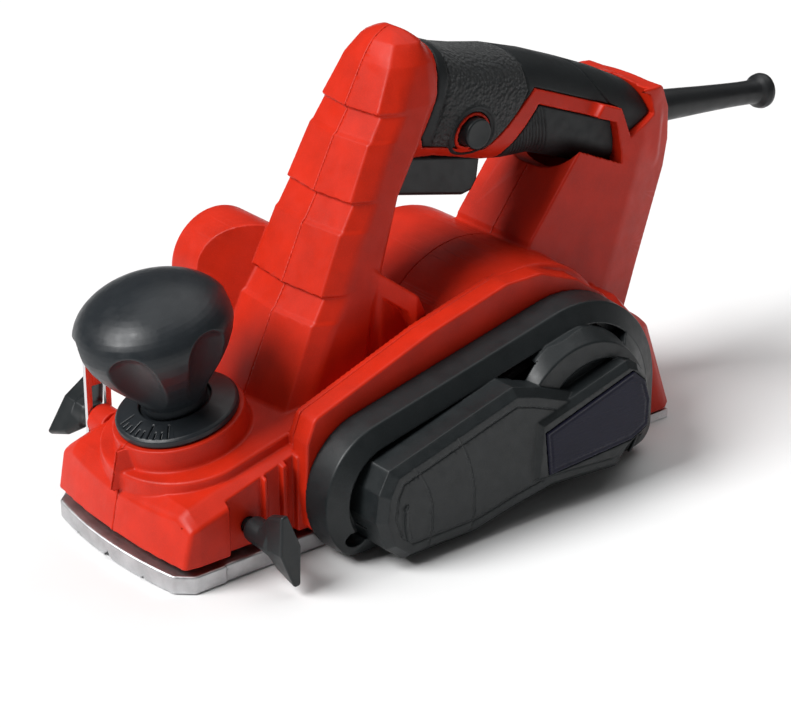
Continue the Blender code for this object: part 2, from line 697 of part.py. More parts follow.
def scale_ring():
    """Conical skirt that carries the depth scale."""
    section = [(4.4, -1.0), (RING_RADIUS, -1.0), (RING_RADIUS, 1.6), (24.6, 2.4), (15.2, 5.2), (15.2, 3.2),
               (4.4, 3.2)]
    return turned_ring("scale_ring", section, RING_CENTRE, knob_axis(), 40, black_plastic())


def depth_spindle():
    return turned("depth_spindle", [(4.0, -43.0), (4.0, 18.0)], RING_CENTRE, knob_axis(), 20, steel())


# ---------------------------------------------------------------- cutter drum and drive

def turned_x(name, centre, steps, count, finish):
    """Solid turned about an X axis from (x, radius) pairs."""
    profile = [(radius, x) for x, radius in steps]
    return turned(name, profile, (0.0, centre[0], centre[1]), (1.0, 0.0, 0.0), count, finish)


def drum_block(name, u_low, u_high, v_low, v_high, x_low, x_high, turn, finish=None):
    """Block in the drum's own radial and tangential directions."""
    c, s = math.cos(turn), math.sin(turn)
    outline = [(DRUM[0] + u * c - v * s, DRUM[1] + u * s + v * c)
               for u, v in ((u_low, v_low), (u_high, v_low), (u_high, v_high), (u_low, v_high))]
    return prism_x(name, outline, x_low, x_high, finish)


def cutter_head():
    """Drum, two blades and their clamp bars."""
    drum = rod_x("cutter_drum", DRUM, DRUM_RADIUS, DRUM_RIGHT + 1.0, DRUM_LEFT, 36, aluminium())
    for turn in BLADE_TURNS:
        cut(drum, drum_block("slot", 10.4, 30.0, -0.9, 6.0, DRUM_RIGHT - 5.0, DRUM_LEFT + 5.0, turn))
    cut(drum, rod_x("bore", DRUM, 6.3, -60.0, 60.0, 20))
    smooth(drum)
    for number, turn in enumerate(BLADE_TURNS, 1):
        drum_block("planer_blade_%d" % number, 10.8, TIP_RADIUS, -0.6, 0.6, DRUM_RIGHT, DRUM_LEFT, turn,
                   steel())
        drum_block("clamp_bar_%d" % number, 10.8, 20.4, 1.0, 5.6, DRUM_RIGHT + 1.0, DRUM_LEFT, turn,
                   dark_steel())
    turned_x("drum_shaft", DRUM, [(-57.0, 4.0), (-48.4, 4.0), (-48.3, 6.0), (34.0, 6.0), (34.1, 5.0),
                                  (68.0, 5.0)], 20, steel())


def bearing(name, centre, bore, outer, low, high):
    section = [(bore, low), (outer, low), (outer, high), (bore, high)]
    return turned_ring(name, section, (0.0, centre[0], centre[1]), (1.0, 0.0, 0.0), 24, steel())


def ribbed_pulley(name, centre, radius, bore, finish):
    """Poly-V pulley with two rims."""
    low, high = 55.5, 67.0
    section = [(bore, low), (radius + 1.8, low), (radius + 1.8, low + 1.2), (radius, low + 1.6),
               (radius, high - 1.6), (radius + 1.8, high - 1.2), (radius + 1.8, high), (bore, high)]
    return turned_ring(name, section, (0.0, centre[0], centre[1]), (1.0, 0.0, 0.0), 28, finish)


def drive_belt():
    def loop(extra):
        return hull(circle(DRUM, DRUM_PULLEY + extra, 32) + circle(MOTOR, MOTOR_PULLEY + extra, 32))
    belt = prism_x("drive_belt", loop(3.2), 57.4, 65.2, soft_rubber())
    cut(belt, prism_x("inside", loop(0.4), 50.0, 70.0))
    smooth(belt)
    return belt


def motor():
    """Universal motor: wound field fixed in the shell, armature turning in two bearings."""
    origin = (0.0, MOTOR[0], MOTOR[1])
    axis = (1.0, 0.0, 0.0)
    copper = material("copper", COPPER, 0.4, 1.0)
    turned_ring("stator_core", [(22.4, -26), (STATOR_RADIUS, -26), (STATOR_RADIUS, 14), (22.4, 14)], origin,
                axis, 28, dark_steel())
    turned_ring("field_winding_brush_side", [(24, -31.5), (31, -31.5), (31, -26.3), (24, -26.3)], origin,
                axis, 24, copper)
    turned_ring("field_winding_fan_side", [(24, 14.3), (31, 14.3), (31, 19.5), (24, 19.5)], origin, axis, 24,
                copper)
    turned_x("motor_shaft", MOTOR, [(-47.0, 4.0), (68.0, 4.0)], 16, steel())
    turned_ring("armature_core", [(4.3, -26), (21.6, -26), (21.6, 14), (4.3, 14)], origin, axis, 28,
                dark_steel())
    turned_ring("commutator", [(4.3, -39.5), (11.0, -39.5), (11.0, -32), (4.3, -32)], origin, axis, 24,
                copper)
    motor_fan(origin, axis)
    bearing("motor_bearing_brush_side", MOTOR, 4.3, 8.0, -47.6, -41.0)
    bearing("motor_bearing_belt_side", MOTOR, 4.3, 11.0, 38.4, 45.6)
    for name, side in (("upper", 1.0), ("lower", -1.0)):
        low, high = sorted((MOTOR[1] + side * 13.0, MOTOR[1] + side * 26.0))
        holder = box("brush_holder_" + name, (-39.6, MOTOR[0] - 5.0, low), (-32.4, MOTOR[0] + 5.0, high),
                     material("brass", (0.7, 0.5, 0.2, 1.0), 0.35, 1.0))
        cut(holder, box("channel", (-38.4, MOTOR[0] - 3.6, low - 2.0), (-33.6, MOTOR[0] + 3.6, high + 2.0)))
        tip, tail = sorted((MOTOR[1] + side * 11.4, MOTOR[1] + side * 24.0))
        box("carbon_brush_" + name, (-38.0, MOTOR[0] - 3.2, tip), (-34.0, MOTOR[0] + 3.2, tail),
            material("carbon", CARBON, 0.6))


def motor_fan(origin, axis):
    """Back plate with curved blades standing on it."""
    plate = [(4.3, 22.0), (36.0, 22.0), (36.0, 23.8), (9.0, 25.0), (9.0, 34.0), (4.3, 34.0)]
    fan = turned_ring("fan", plate, origin, axis, 28, black_plastic())
    for k in range(9):
        turn = 2.0 * math.pi * k / 9.0
        outline = []
        for side in (-0.7, 0.7):
            arc = []
            for radius in (8.0, 21.0, 34.0):
                bend = turn + 0.012 * radius
                arc.append((MOTOR[0] + radius * math.cos(bend) - side * math.sin(bend),
                            MOTOR[1] + radius * math.sin(bend) + side * math.cos(bend)))
            outline += arc if side < 0 else arc[::-1]
        join(fan, prism_x("blade", outline, 23.0, 33.0))
    return fan


# ---------------------------------------------------------------- belt cover

def belt_cover():
    """Stepped cover over the belt drive, hollow behind."""
    rim, shoulder, edge = COVER_LEVELS
    cover = prism_x("belt_cover", cover_outline(0.0), rim, shoulder, black_plastic())
    crown = loft("crown", [[(x, y, z) for y, z in cover_outline(i, None, 48)]
                           for x, i in ((shoulder - 1.0, 0.8), (edge, 5.0))])
    join(cover, crown)
    recess = prism_x("recess", cover_outline(9.5), edge - 4.0, edge + 10.0)
    cut(cover, recess)
    join(cover, prism_x("panel", PANEL_OUTLINE, 60.0, COVER_PANEL_X - 2.0))
    web = loft("web", [[(x, y, z) for y, z in inset_outline(COVER_WEB, i)] for x, i in ((60.0, 0.0), (70.3, 0.0),
                                                                                         (78.0, 5.0))])
    join(cover, web)
    join(cover, rod_x("pulley_boss", (-3.0, 43.0), 33.0, 60.0, 79.0, 40))
    join(cover, rod_x("pulley_face", (-3.0, 43.0), 27.0, 70.0, 82.0, 40))
    join(cover, prism_x("badge_bar", BADGE_BAR, 70.0, COVER_PANEL_X))
    cut(cover, box("under", (40.0, -140.0, -40.0), (100.0, 80.0, COVER_FLOOR)))
    cut(cover, prism_x("room", cover_outline(3.0), 40.0, edge - 6.5))
    cut(cover, prism_x("pulley_room", hull(circle(DRUM, 17.0, 24) + circle(MOTOR, 24.0, 24)), 40.0, 72.0))
    cut(cover, prism_x("badge_seat", BADGE_PLATE, COVER_PANEL_X - 1.2, 100.0))
    for y, z in COVER_SCREWS:
        cut(cover, rod_x("screw_well", (y, z), 3.9, COVER_SCREW_X, 100.0, 14))
        cut(cover, rod_x("screw_hole", (y, z), 2.0, 40.0, 100.0, 10))
    merge_flat_faces(cover)
    smooth(cover)
    return cover


def cover_badge():
    """Plain plate let into the cover."""
    return prism_x("cover_badge", inset_outline(BADGE_PLATE, GAP), COVER_PANEL_X - 0.9, COVER_PANEL_X + 0.3,
                   material("navy_plate", NAVY, 0.25))


def screw(name, centre, head_x, tip_x, head, shank):
    """Pan-head screw along X; the head faces away from the tip."""
    way = 1.0 if tip_x > head_x else -1.0
    steps = [(head_x - way * 2.4, head * 0.8), (head_x - way * 2.0, head), (head_x - way * 0.3, head),
             (head_x - way * 0.2, shank), (tip_x, shank)]
    return turned_x(name, centre, sorted(steps), 16, steel())


# ---------------------------------------------------------------- controls and stops

def trigger():
    outline = [(-55.0, 145.0), (-55.0, 129.5), (-51.0, 126.8), (-8.0, 117.0), (-3.0, 118.0), (0.2, 122.5),
               (1.6, 133.0)]
    obj = prism_x("trigger", outline, -TRIGGER_HALF, TRIGGER_HALF, black_plastic())
    return pivot_x(obj, TRIGGER_PIVOT)


def lock_button():
    """Cross pin that stands out on both sides of the handle."""
    steps = [(-25.0, 5.6), (-24.0, BUTTON_RADIUS), (24.0, BUTTON_RADIUS), (25.0, 5.6)]
    return turned_x("lock_off_button", LOCK_BUTTON, steps, 24, black_plastic())


def wing_screw(name, centre, side, face, reach, lean):
    """Thread, round neck and a two-lobed wing; side is +1 or -1 along X."""
    steps = [(side * (face - 9.0), 3.0), (side * face, 3.0), (side * (face + 0.1), 4.8), (side * reach, 5.4)]
    obj = turned_x(name, centre, sorted(steps), 20, black_plastic())
    c, s = math.cos(lean), math.sin(lean)
    rings = []
    for x, long_half, thick, tip in ((reach - 4.0, 6.0, 4.2, 2.4), (reach + 2.0, 13.0, 4.4, 2.0),
                                     (reach + 12.0, 17.0, 2.8, 1.6)):
        outline = [(long_half, -tip), (long_half, tip), (0.0, thick), (-long_half, tip), (-long_half, -tip),
                   (0.0, -thick)]
        rings.append([(side * x, centre[0] + u * c - v * s, centre[1] + u * s + v * c) for u, v in outline])
    join(obj, loft("wing", rings))
    return pivot_x(obj, centre)


def depth_stop():
    """Flat rebate stop with a slot for its wing screw and a foot turned outward."""
    inner, outer = STOP_STRIP_X[1], STOP_STRIP_X[0]
    y, z = STOP_SCREW
    foot = STOP_FOOT_Z
    strip = box("rabbet_depth_stop", (outer, y - 6.0, foot), (inner, y + 6.0, 64.0), steel())
    join(strip, box("foot", (outer - 16.0, y - 6.0, foot), (outer + 0.5, y + 6.0, foot + 2.0)))
    cut(strip, box("slot", (outer - 2.0, y - 3.4, z - 14.0), (inner + 2.0, y + 3.4, z + 16.0)))
    return strip


def cord_sleeve():
    """Bend relief that tapers to a flared end."""
    section = [(4.2, 3.0), (7.3, 3.0), (7.3, 26.0), (6.6, 45.0), (5.6, 80.0), (5.7, 86.0), (8.2, 89.0),
               (8.4, 92.0), (7.2, 93.0), (4.2, 93.0)]
    return turned_ring("cord_sleeve", section, SLEEVE_START, SLEEVE_AXIS, 24, soft_rubber())


def inner_fittings():
    """Switch and cord clamp inside the handle."""
    box("switch_body", (-9.5, -50.0, 151.0), (9.5, -22.5, 168.0), black_plastic())
    box("cord_clamp", (-10.0, 77.0, 110.0), (10.0, 85.0, 115.0), black_plastic())


# ---------------------------------------------------------------- whole machine

def clear_scene():
    for obj in list(bpy.data.objects):
        bpy.data.objects.remove(obj)


def main():
    clear_scene()
    make_housing()
    soft_grip("handle_grip", GRIP_OUTLINE)
    soft_grip("lower_grip_pad", PAD_OUTLINE)
    front_shoe()
    guide_pin("shoe_guide_pin_left", GUIDE_PIN_X)
    guide_pin("shoe_guide_pin_right", -GUIDE_PIN_X)
    depth_spring()
    rear_shoe()
    for obj in (depth_knob(), scale_ring(), depth_spindle()):
        set_pivot(obj, RING_CENTRE)
    cutter_head()
    bearing("drum_bearing_belt_side", DRUM, 5.3, 13.0, DRUM_LEFT + 1.8, DRUM_LEFT + 9.0)
    bearing("drum_bearing_far_side", DRUM, 4.3, 11.0, -57.0, -50.0)
    motor()
    ribbed_pulley("drum_pulley", DRUM, DRUM_PULLEY, 5.3, aluminium())
    ribbed_pulley("motor_pulley", MOTOR, MOTOR_PULLEY, 4.3, black_plastic())
    drive_belt()
    belt_cover()
    cover_badge()
    for number, centre in enumerate(COVER_SCREWS, 1):
        screw("cover_screw_%d" % number, centre, COVER_SCREW_X, 46.0, 3.4, 1.6)
    for number, centre in enumerate(HOUSING_SCREWS, 1):
        screw("housing_screw_%d" % number, centre, SCREW_HEAD_X, SCREW_TIP_X, SCREW_HEAD - 0.2, SCREW_SHANK)
    trigger()
    lock_button()
    wing_screw("guide_clamp_screw", GUIDE_SCREW, 1.0, SOLE_HALF + 0.6, 62.0, math.radians(100.0))
    wing_screw("depth_stop_screw", STOP_SCREW, -1.0, -STOP_STRIP_X[0] + 0.6, 62.0, math.radians(45.0))
    depth_stop()
    cord_sleeve()
    inner_fittings()


main()
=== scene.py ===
"""Looks of the electric hand planer.

Fields are in millimetres in the row frame: +X is the belt side, -Y the planing direction and z = 0 the
sole plane. Each moulded piece is a distance field, a function of the coordinate arrays x, y and z that
is negative inside the piece. fine_mesh follows a field with a closed surface.
"""
import math

import bpy
import numpy as np
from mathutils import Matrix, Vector


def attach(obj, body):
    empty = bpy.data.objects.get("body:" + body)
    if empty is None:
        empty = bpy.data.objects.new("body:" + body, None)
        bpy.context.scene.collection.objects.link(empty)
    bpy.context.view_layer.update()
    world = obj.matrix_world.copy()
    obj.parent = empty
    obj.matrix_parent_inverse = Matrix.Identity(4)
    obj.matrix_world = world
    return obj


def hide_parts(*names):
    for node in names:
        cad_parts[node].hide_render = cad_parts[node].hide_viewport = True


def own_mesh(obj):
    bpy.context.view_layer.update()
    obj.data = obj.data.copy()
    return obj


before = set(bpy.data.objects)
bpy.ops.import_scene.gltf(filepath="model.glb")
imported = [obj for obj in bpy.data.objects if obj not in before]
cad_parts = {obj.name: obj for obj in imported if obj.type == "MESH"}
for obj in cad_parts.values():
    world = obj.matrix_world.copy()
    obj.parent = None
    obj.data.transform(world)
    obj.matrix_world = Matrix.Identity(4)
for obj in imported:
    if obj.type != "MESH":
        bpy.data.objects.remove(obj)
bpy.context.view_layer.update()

MM = 0.001
GAP = 0.3                     # between a soft grip and its seat
SEAM = 0.02                   # half the gap between the housing halves
BLOCK = 8                     # fine cells to a side of a coarse block
RELAX_ROUNDS = 2

# Axes and sizes shared by several pieces; y, z pairs unless noted
DRUM = (-94, 24)
MOTOR = (-2, 46)
MOTOR_RADIUS = 48.0
TUBE = (-91.5, 90)
TUBE_RADIUS = 23.0
TUBE_NECK = ((-113.5, 86), (-109, 48), (-70, 48), (-69, 90))
RING_CENTRE = (0, -151, 56)
KNOB_TILT = math.radians(14)
RING_RADIUS = 25.7
FLANGE_FACE = 53.0
COVER_FRONT = (-94.5, 27.6, 31.3)
COVER_REAR = (6, 34.5, 47.5)
COVER_HEEL = (42.5, 14, 11)
COVER_SCREWS = ((-113.5, 12.5), (46.5, 18))
LOCK_BUTTON = (-13, 150)
GUIDE_SCREW = (-149, 21)
STOP_SCREW = (-156.5, 34)
HOUSING_SCREWS = ((-46, 186), (-75, 57), (45.5, 149.2), (93, 112), (66, 62),
                  (-117, 40))
SLEEVE_START = (0, 92, 131)
SLEEVE_AXIS = (0, 0.995, -0.0998)

# Lower body along y: height of the deck and of the side walls' upper edge
DECK_Y = (-186, -181.5, -174, -161, -121, -70, 0, 54, 63.5, 71.5, 90)
DECK_Z = (23.5, 28.5, 34, 38, 47.5, 67, 76, 65, 54.5, 49, 38)
WALL_Z = (22, 26, 28.5, 32.5, 46.5, 61, 70, 60, 50, 46, 36)
DECK_SLOPE = math.tan(KNOB_TILT)

# Front arm along z: front line, rear line, half width of the front face
ARM_Z = (40, 88, 133, 152, 168, 184, 192, 196.5)
ARM_FRONT = (-122, -100, -79, -69.5, -61.5, -53, -47.5, -42)
ARM_REAR = (-80, -69, -54, -42, -34, -33, -34, -38)
ARM_HALF = (26.5, 24, 21.5, 20, 18.5, 15, 11, 4)
ARM_NOTCHES = ((166, 157), (133, 123), (97, 88))
NOTCH_DEPTH = 2.3

# Handle bar along y: top, bottom and half width
BAR_Y = (-54, -34, -22, -8, 4, 20, 40, 60, 78, 96)
BAR_TOP = (180, 193.5, 189.5, 184, 181, 178, 172, 164.5, 157, 147.5)
BAR_BOTTOM = (141, 138, 135, 131, 129, 128, 121, 113, 108, 106)
BAR_HALF = (19, 20.5, 21.5, 22, 21.5, 20.5, 20, 20.5, 21.5, 22)
BAR_POWER = 2.67
BAR_LEAN = 0.3
GRIP_DEPTH = 3.0
GRIP_OUTLINE = ((-24, 215), (-28, 193), (-31, 180), (-32.5, 170), (-39.5, 153), (-37, 147.5), (-5, 139.5),
                (22, 161.5), (69, 143.5), (75, 129.5), (89, 137), (80, 165), (60, 200))
PAD_OUTLINE = ((24, 154), (66, 138), (70, 122), (70, 100), (5, 100), (5, 130), (8, 137))

REAR_ARM = ((5, 60), (17, 94), (41, 125), (60, 150), (94, 149), (101, 137),
            (103.5, 121), (102, 108), (88, 66), (80, 40), (20, 30))
POST_ROOM = ((36, 100), (56, 128), (88, 138), (91, 118), (78, 70), (30, 60))
FLANGE = ((-124, 11.5), (-126, 30), (-125, 52), (-121, 62), (-61, 83.5), (-21, 94),
          (-2, 94), (19, 86), (34, 75.5), (48, 60), (54.3, 44), (56, 4.6), (-80, 4.6),
          (-101, 8), (-103.5, 11.5))
GEAR_PAD = ((-80, 60), (-80, 104), (-72, 106), (-54.5, 92), (-46.5, 74), (-46, 60))
PAD_POCKET = ((-80, 56), (-80, 98.5), (-74, 97), (-59, 85.5), (-52.5, 72), (-52, 56))

PANEL = ((-40, 8), (-20, 11), (18, 8.5), (30, 24), (20, 40), (-30, 60), (-42, 63.5),
         (-106, 45.5), (-111, 36), (-112.5, 24), (-108, 11), (-99, 3.6), (-62, 3.6))
BADGE_BAR = ((-33, 18), (-31, 45.5), (19, 59), (25.5, 56), (31.5, 48.5), (33.6, 38),
             (33, 24), (14, 14))
BADGE_PLATE = ((-25, 19.5), (-27.5, 40), (21.5, 54.5), (28.5, 48.5), (32, 38.5), (31.5, 26.5),
               (22, 22))
COVER_WEB = ((21, 57), (35, 65.8), (43.5, 55), (47.5, 42), (48, 12), (20, 12))
PANEL_X = 86.5
COVER_BACK = 53.3
RIM_X = 66.0
PANEL_FACE = 84.5
ARROW = (-76, 23)
ARROW_RADIUS = 24.0

# Knob, scale ring and sleeve as turned profiles: radius and height along the axis
KNOB_FLARE = ((13.8, 8), (15, 10.5), (17.6, 14.3), (21.5, 19.3), (25.2, 24.2), (28.4, 29.2), (30.9, 34.2),
              (32.3, 38.4))
KNOB_DOME = tuple((32.8 * math.cos(math.radians(a)), 41.0 + 18.3 * math.sin(math.radians(a)))
                  for a in range(0, 91, 6))
KNOB_PROFILE = ((-12, 3.8), (13.6, 3.8), *KNOB_FLARE, *KNOB_DOME, (-12, 59.3))
RING_PROFILE = ((4.4, -1), (RING_RADIUS, -1), (RING_RADIUS, 1.5), (24.6, 2.4), (15.2, 5.2), (15, 3.2),
                (4.4, 3.2))
SLEEVE_PROFILE = ((4.2, 3), (7.3, 3), (7.3, 26), (6.9, 36), (6.3, 50), (5.8, 65), (5.5, 80),
                  (5.9, 86), (7.9, 88.2), (8.4, 90.5), (8, 92.6), (6.8, 93), (4.2, 93))
SCOOP_START = (27.5, 8)
SCOOP_RUN = (11, 27.5)
SCOOP_RADIUS = 12.6
SCALLOP_TURN = math.radians(-52)
MARK_STEP = 7.2               # degrees between two marks of the scale

# Lines engraved in the grip
GRIP_FRONT_LINE = ((-24.5, 200), (-24, 188), (-26, 174), (-30.5, 160), (-33, 150),
                   (-31.5, 140))
GRIP_REAR_LINE = ((8, 190), (13, 181), (17.5, 172), (18, 161), (12, 153), (-2, 142),
                  (-6, 135))
GRIP_SLANT = ((44, 178), (55, 160), (66, 144), (68, 138))

# Colours shared by several materials
RED = (0.52, 0.019, 0.005)
BLACK = (0.010, 0.0125, 0.0135)
SOFT = (0.008, 0.010, 0.011)

# Camera and light in metres and degrees; a lamp is its name, where it shines from, strength and width
CAMERA_TARGET = (0.0024, -0.0396, 0.0449)
CAMERA_TURN = 51.31
CAMERA_LIFT = 24.67
CAMERA_DISTANCE = 1.078
CAMERA_LENS = 113.5
LAMPS = (("key", (-0.18, -0.67, 0.72), 3.7, 32), ("top", (-0.15, 0.25, 0.97), 1.05, 60))
WORLD_LIGHT = 0.09


# ---- distance fields

def meet(a, b, r=0.0):
    """Intersection, its edge rounded to radius r."""
    if not r:
        return np.maximum(a, b)
    u = np.maximum(a + r, 0.0)
    v = np.maximum(b + r, 0.0)
    return np.minimum(np.maximum(a, b), -r) + np.sqrt(u * u + v * v)


def unite(a, b, r=0.0):
    """Union, its corner filled to radius r."""
    return -meet(-a, -b, r)


def carve(a, b, r=0.0):
    return meet(a, -b, r)


def bevel(a, b, size):
    """Intersection with a flat chamfer that takes size off both faces."""
    return np.maximum(np.maximum(a, b), (a + b + size) * math.sqrt(0.5))


def nearest_of(first, *others):
    """Plain union of any number of fields."""
    for other in others:
        first = np.minimum(first, other)
    return first


def common(first, *others):
    """Plain intersection of any number of fields."""
    for other in others:
        first = np.maximum(first, other)
    return first


def between(u, low, high):
    return np.abs(u - 0.5 * (low + high)) - 0.5 * (high - low)


def round_bar(u, v, centre, radius):
    return np.hypot(u - centre[0], v - centre[1]) - radius


def block(x, y, z, low, high):
    return common(between(x, low[0], high[0]), between(y, low[1], high[1]), between(z, low[2], high[2]))


def inset_outline(points, distance):
    """Move every side of a closed outline inward by a distance."""
    area = sum(a[0] * b[1] - b[0] * a[1] for a, b in zip(points, points[1:] + points[:1]))
    corners = [Vector(p) for p in (points if area > 0 else points[::-1])]
    moved = []
    for i, point in enumerate(corners):
        before = (point - corners[i - 1]).normalized()
        after = (corners[(i + 1) % len(corners)] - point).normalized()
        normal = Vector((-before.y, before.x)) + Vector((-after.y, after.x))
        moved.append(tuple(point + normal * (distance / (1.0 + before.dot(after)))))
    return tuple(moved)


def line_gap(u, v, points):
    """Distance to an open chain of straight lines."""
    nearest = np.full(u.shape, 1e9, dtype=u.dtype)
    for (au, av), (bu, bv) in zip(points, points[1:]):
        eu, ev = bu - au, bv - av
        wu, wv = u - au, v - av
        t = np.clip((wu * eu + wv * ev) / (eu * eu + ev * ev), 0.0, 1.0)
        nearest = np.minimum(nearest, (wu - eu * t) ** 2 + (wv - ev * t) ** 2)
    return np.sqrt(nearest)


def outline(u, v, points, r=0.0):
    """Distance to a closed outline with its corners rounded to radius r."""
    if r:
        points = inset_outline(points, r)
    ring = points + points[:1]
    inside = np.zeros(u.shape, dtype=bool)
    for (au, av), (bu, bv) in zip(ring, ring[1:]):
        if av != bv:
            inside ^= ((v >= av) != (v >= bv)) & (u - au < (v - av) * ((bu - au) / (bv - av)))
    return np.where(inside, -1.0, 1.0) * line_gap(u, v, ring) - r


def two_circles(u, v, first, second):
    """Distance to the hull of two circles, each given as u, v, radius."""
    du, dv = second[0] - first[0], second[1] - first[1]
    span = math.hypot(du, dv)
    along = ((u - first[0]) * du + (v - first[1]) * dv) / span
    across = np.abs((u - first[0]) * dv - (v - first[1]) * du) / span
    b = (first[2] - second[2]) / span
    a = math.sqrt(1.0 - b * b)
    k = along * a - across * b
    near = np.hypot(across, along) - first[2]
    far = np.hypot(across, along - span) - second[2]
    side = across * a + along * b - first[2]
    return np.where(k < 0.0, near, np.where(k > a * span, far, side))


def turned(x, y, z, centre, axis):
    """Radius from an axis and height along it."""
    px, py, pz = x - centre[0], y - centre[1], z - centre[2]
    height = px * axis[0] + py * axis[1] + pz * axis[2]
    square = px * px + py * py + pz * pz - height * height
    return np.sqrt(np.maximum(square, 0.0)), height


def knob_axis():
    return (0.0, -math.sin(KNOB_TILT), math.cos(KNOB_TILT))


def round_knob(x, y, z):
    """Radius from the knob's axis and height along it."""
    return turned(x, y, z, RING_CENTRE, knob_axis())


def knob_turn(x, y, z):
    """Angle round the knob's axis, zero at the belt side."""
    ahead = (y - RING_CENTRE[1]) * math.cos(KNOB_TILT) + (z - RING_CENTRE[2]) * math.sin(KNOB_TILT)
    return np.arctan2(ahead, x)


# ---- surface of a field

def sample(field, points, chunk=400000):
    """Field at many points, a chunk at a time."""
    values = np.empty(len(points), dtype=np.float32)
    for start in range(0, len(points), chunk):
        x, y, z = points[start:start + chunk].T.astype(np.float64)
        values[start:start + chunk] = field(x, y, z)
    return values


def slope(field, points, reach):
    """Field and its gradient, from four samples round each point."""
    total = np.zeros((len(points), 3))
    value = np.zeros(len(points))
    for corner in ((1, 1, 1), (1, -1, -1), (-1, 1, -1), (-1, -1, 1)):
        way = np.array(corner) * reach
        found = sample(field, points + way)
        total += found[:, None] * np.array(corner)
        value += 0.25 * found
    return value, total / (4.0 * reach)


def node_values(field, low, step, shape):
    """Field on a grid: exact near the surface, only its sign elsewhere."""
    blocks = [(n - 1) // BLOCK + 1 for n in shape]
    middles = [low[k] + step * BLOCK * (np.arange(blocks[k]) + 0.5) for k in range(3)]
    coarse_points = np.stack(np.meshgrid(*middles, indexing="ij"), axis=-1).reshape(-1, 3)
    coarse = sample(field, coarse_points).reshape(blocks)
    reach = step * BLOCK * 0.5 * math.sqrt(3.0) * 1.5
    values = np.repeat(np.repeat(np.repeat(np.sign(coarse) * reach, BLOCK, 0), BLOCK, 1), BLOCK, 2)
    values = np.pad(values, ((0, 1), (0, 1), (0, 1)), mode="edge")[:shape[0], :shape[1], :shape[2]]
    near = np.abs(coarse) < reach
    wanted = np.zeros([n * BLOCK + 1 for n in blocks], dtype=bool)
    for i, j, k in np.argwhere(near):
        wanted[i * BLOCK:(i + 1) * BLOCK + 1, j * BLOCK:(j + 1) * BLOCK + 1,
               k * BLOCK:(k + 1) * BLOCK + 1] = True
    index = np.argwhere(wanted[:shape[0], :shape[1], :shape[2]])
    values = values.astype(np.float32)
    values[tuple(index.T)] = sample(field, np.array(low) + index * step)
    return values


def net(values, low, step):
    """Surface net of grid values: one vertex per crossed cell, one quad per crossed edge."""
    inside = values < 0.0
    count = np.zeros([n - 1 for n in values.shape], dtype=np.int8)
    corners = [(a, b, c) for a in (0, 1) for b in (0, 1) for c in (0, 1)]
    for a, b, c in corners:
        count += inside[a:a + count.shape[0], b:b + count.shape[1], c:c + count.shape[2]]
    cells = np.argwhere((count > 0) & (count < 8))
    number = np.full(count.shape, -1, dtype=np.int32)
    number[tuple(cells.T)] = np.arange(len(cells))
    places = np.zeros((len(cells), 3))
    hits = np.zeros(len(cells))
    for first in corners:
        for axis in range(3):
            if first[axis]:
                continue
            second = tuple(v + (k == axis) for k, v in enumerate(first))
            near = values[tuple((cells + first).T)]
            far = values[tuple((cells + second).T)]
            crossed = (near < 0.0) != (far < 0.0)
            t = near[crossed] / (near[crossed] - far[crossed])
            spot = np.tile(np.array(first, dtype=float), (len(t), 1))
            spot[:, axis] = t
            places[crossed] += spot
            hits[crossed] += 1.0
    places = np.array(low) + step * (cells + places / hits[:, None])
    quads = []
    for axis in range(3):
        lower = [slice(None)] * 3
        upper = [slice(None)] * 3
        lower[axis] = slice(0, -1)
        upper[axis] = slice(1, None)
        crossed = np.argwhere(inside[tuple(lower)] != inside[tuple(upper)])
        crossed = crossed[np.all(crossed[:, [k for k in range(3) if k != axis]] > 0, axis=1)]
        u, v = (axis + 1) % 3, (axis + 2) % 3
        ring = []
        for du, dv in ((0, 0), (1, 0), (1, 1), (0, 1)):
            cell = crossed.copy()
            cell[:, u] -= du
            cell[:, v] -= dv
            ring.append(number[tuple(cell.T)])
        ring = np.stack(ring, axis=1)
        flip = ~inside[tuple(crossed.T)]
        ring[flip] = ring[flip][:, ::-1]
        quads.append(ring)
    return places, np.concatenate(quads)


def relax(places, quads):
    """Move each vertex to the mean of its neighbours."""
    total = np.zeros_like(places)
    count = np.zeros(len(places))
    for a, b in ((0, 1), (1, 2), (2, 3), (3, 0)):
        for k in range(3):
            total[:, k] += np.bincount(quads[:, a], places[quads[:, b], k], len(places))
            total[:, k] += np.bincount(quads[:, b], places[quads[:, a], k], len(places))
        count += np.bincount(quads[:, a], minlength=len(places))
        count += np.bincount(quads[:, b], minlength=len(places))
    return 0.5 * places + 0.5 * total / count[:, None]


def settle(field, places, limit):
    """Slide vertices onto the field's surface, each by a limited step."""
    value, gradient = slope(field, places, 0.05)
    square = np.maximum((gradient ** 2).sum(axis=1), 0.05)
    move = -value[:, None] * gradient / square[:, None]
    length = np.linalg.norm(move, axis=1)
    move *= np.minimum(1.0, limit / np.maximum(length, 1e-9))[:, None]
    return places + move


def new_object(name, mesh, finish):
    obj = bpy.data.objects.new(name, mesh)
    bpy.context.scene.collection.objects.link(obj)
    mesh.materials.append(finish)
    return obj


def quad_mesh(name, places, quads):
    mesh = bpy.data.meshes.new(name)
    mesh.vertices.add(len(places))
    mesh.vertices.foreach_set("co", (places * MM).astype(np.float32).ravel())
    mesh.loops.add(quads.size)
    mesh.loops.foreach_set("vertex_index", quads.astype(np.int32).ravel())
    mesh.polygons.add(len(quads))
    mesh.polygons.foreach_set("loop_start", np.arange(0, quads.size, 4, dtype=np.int32))
    mesh.update(calc_edges=True)
    mesh.validate()
    return mesh


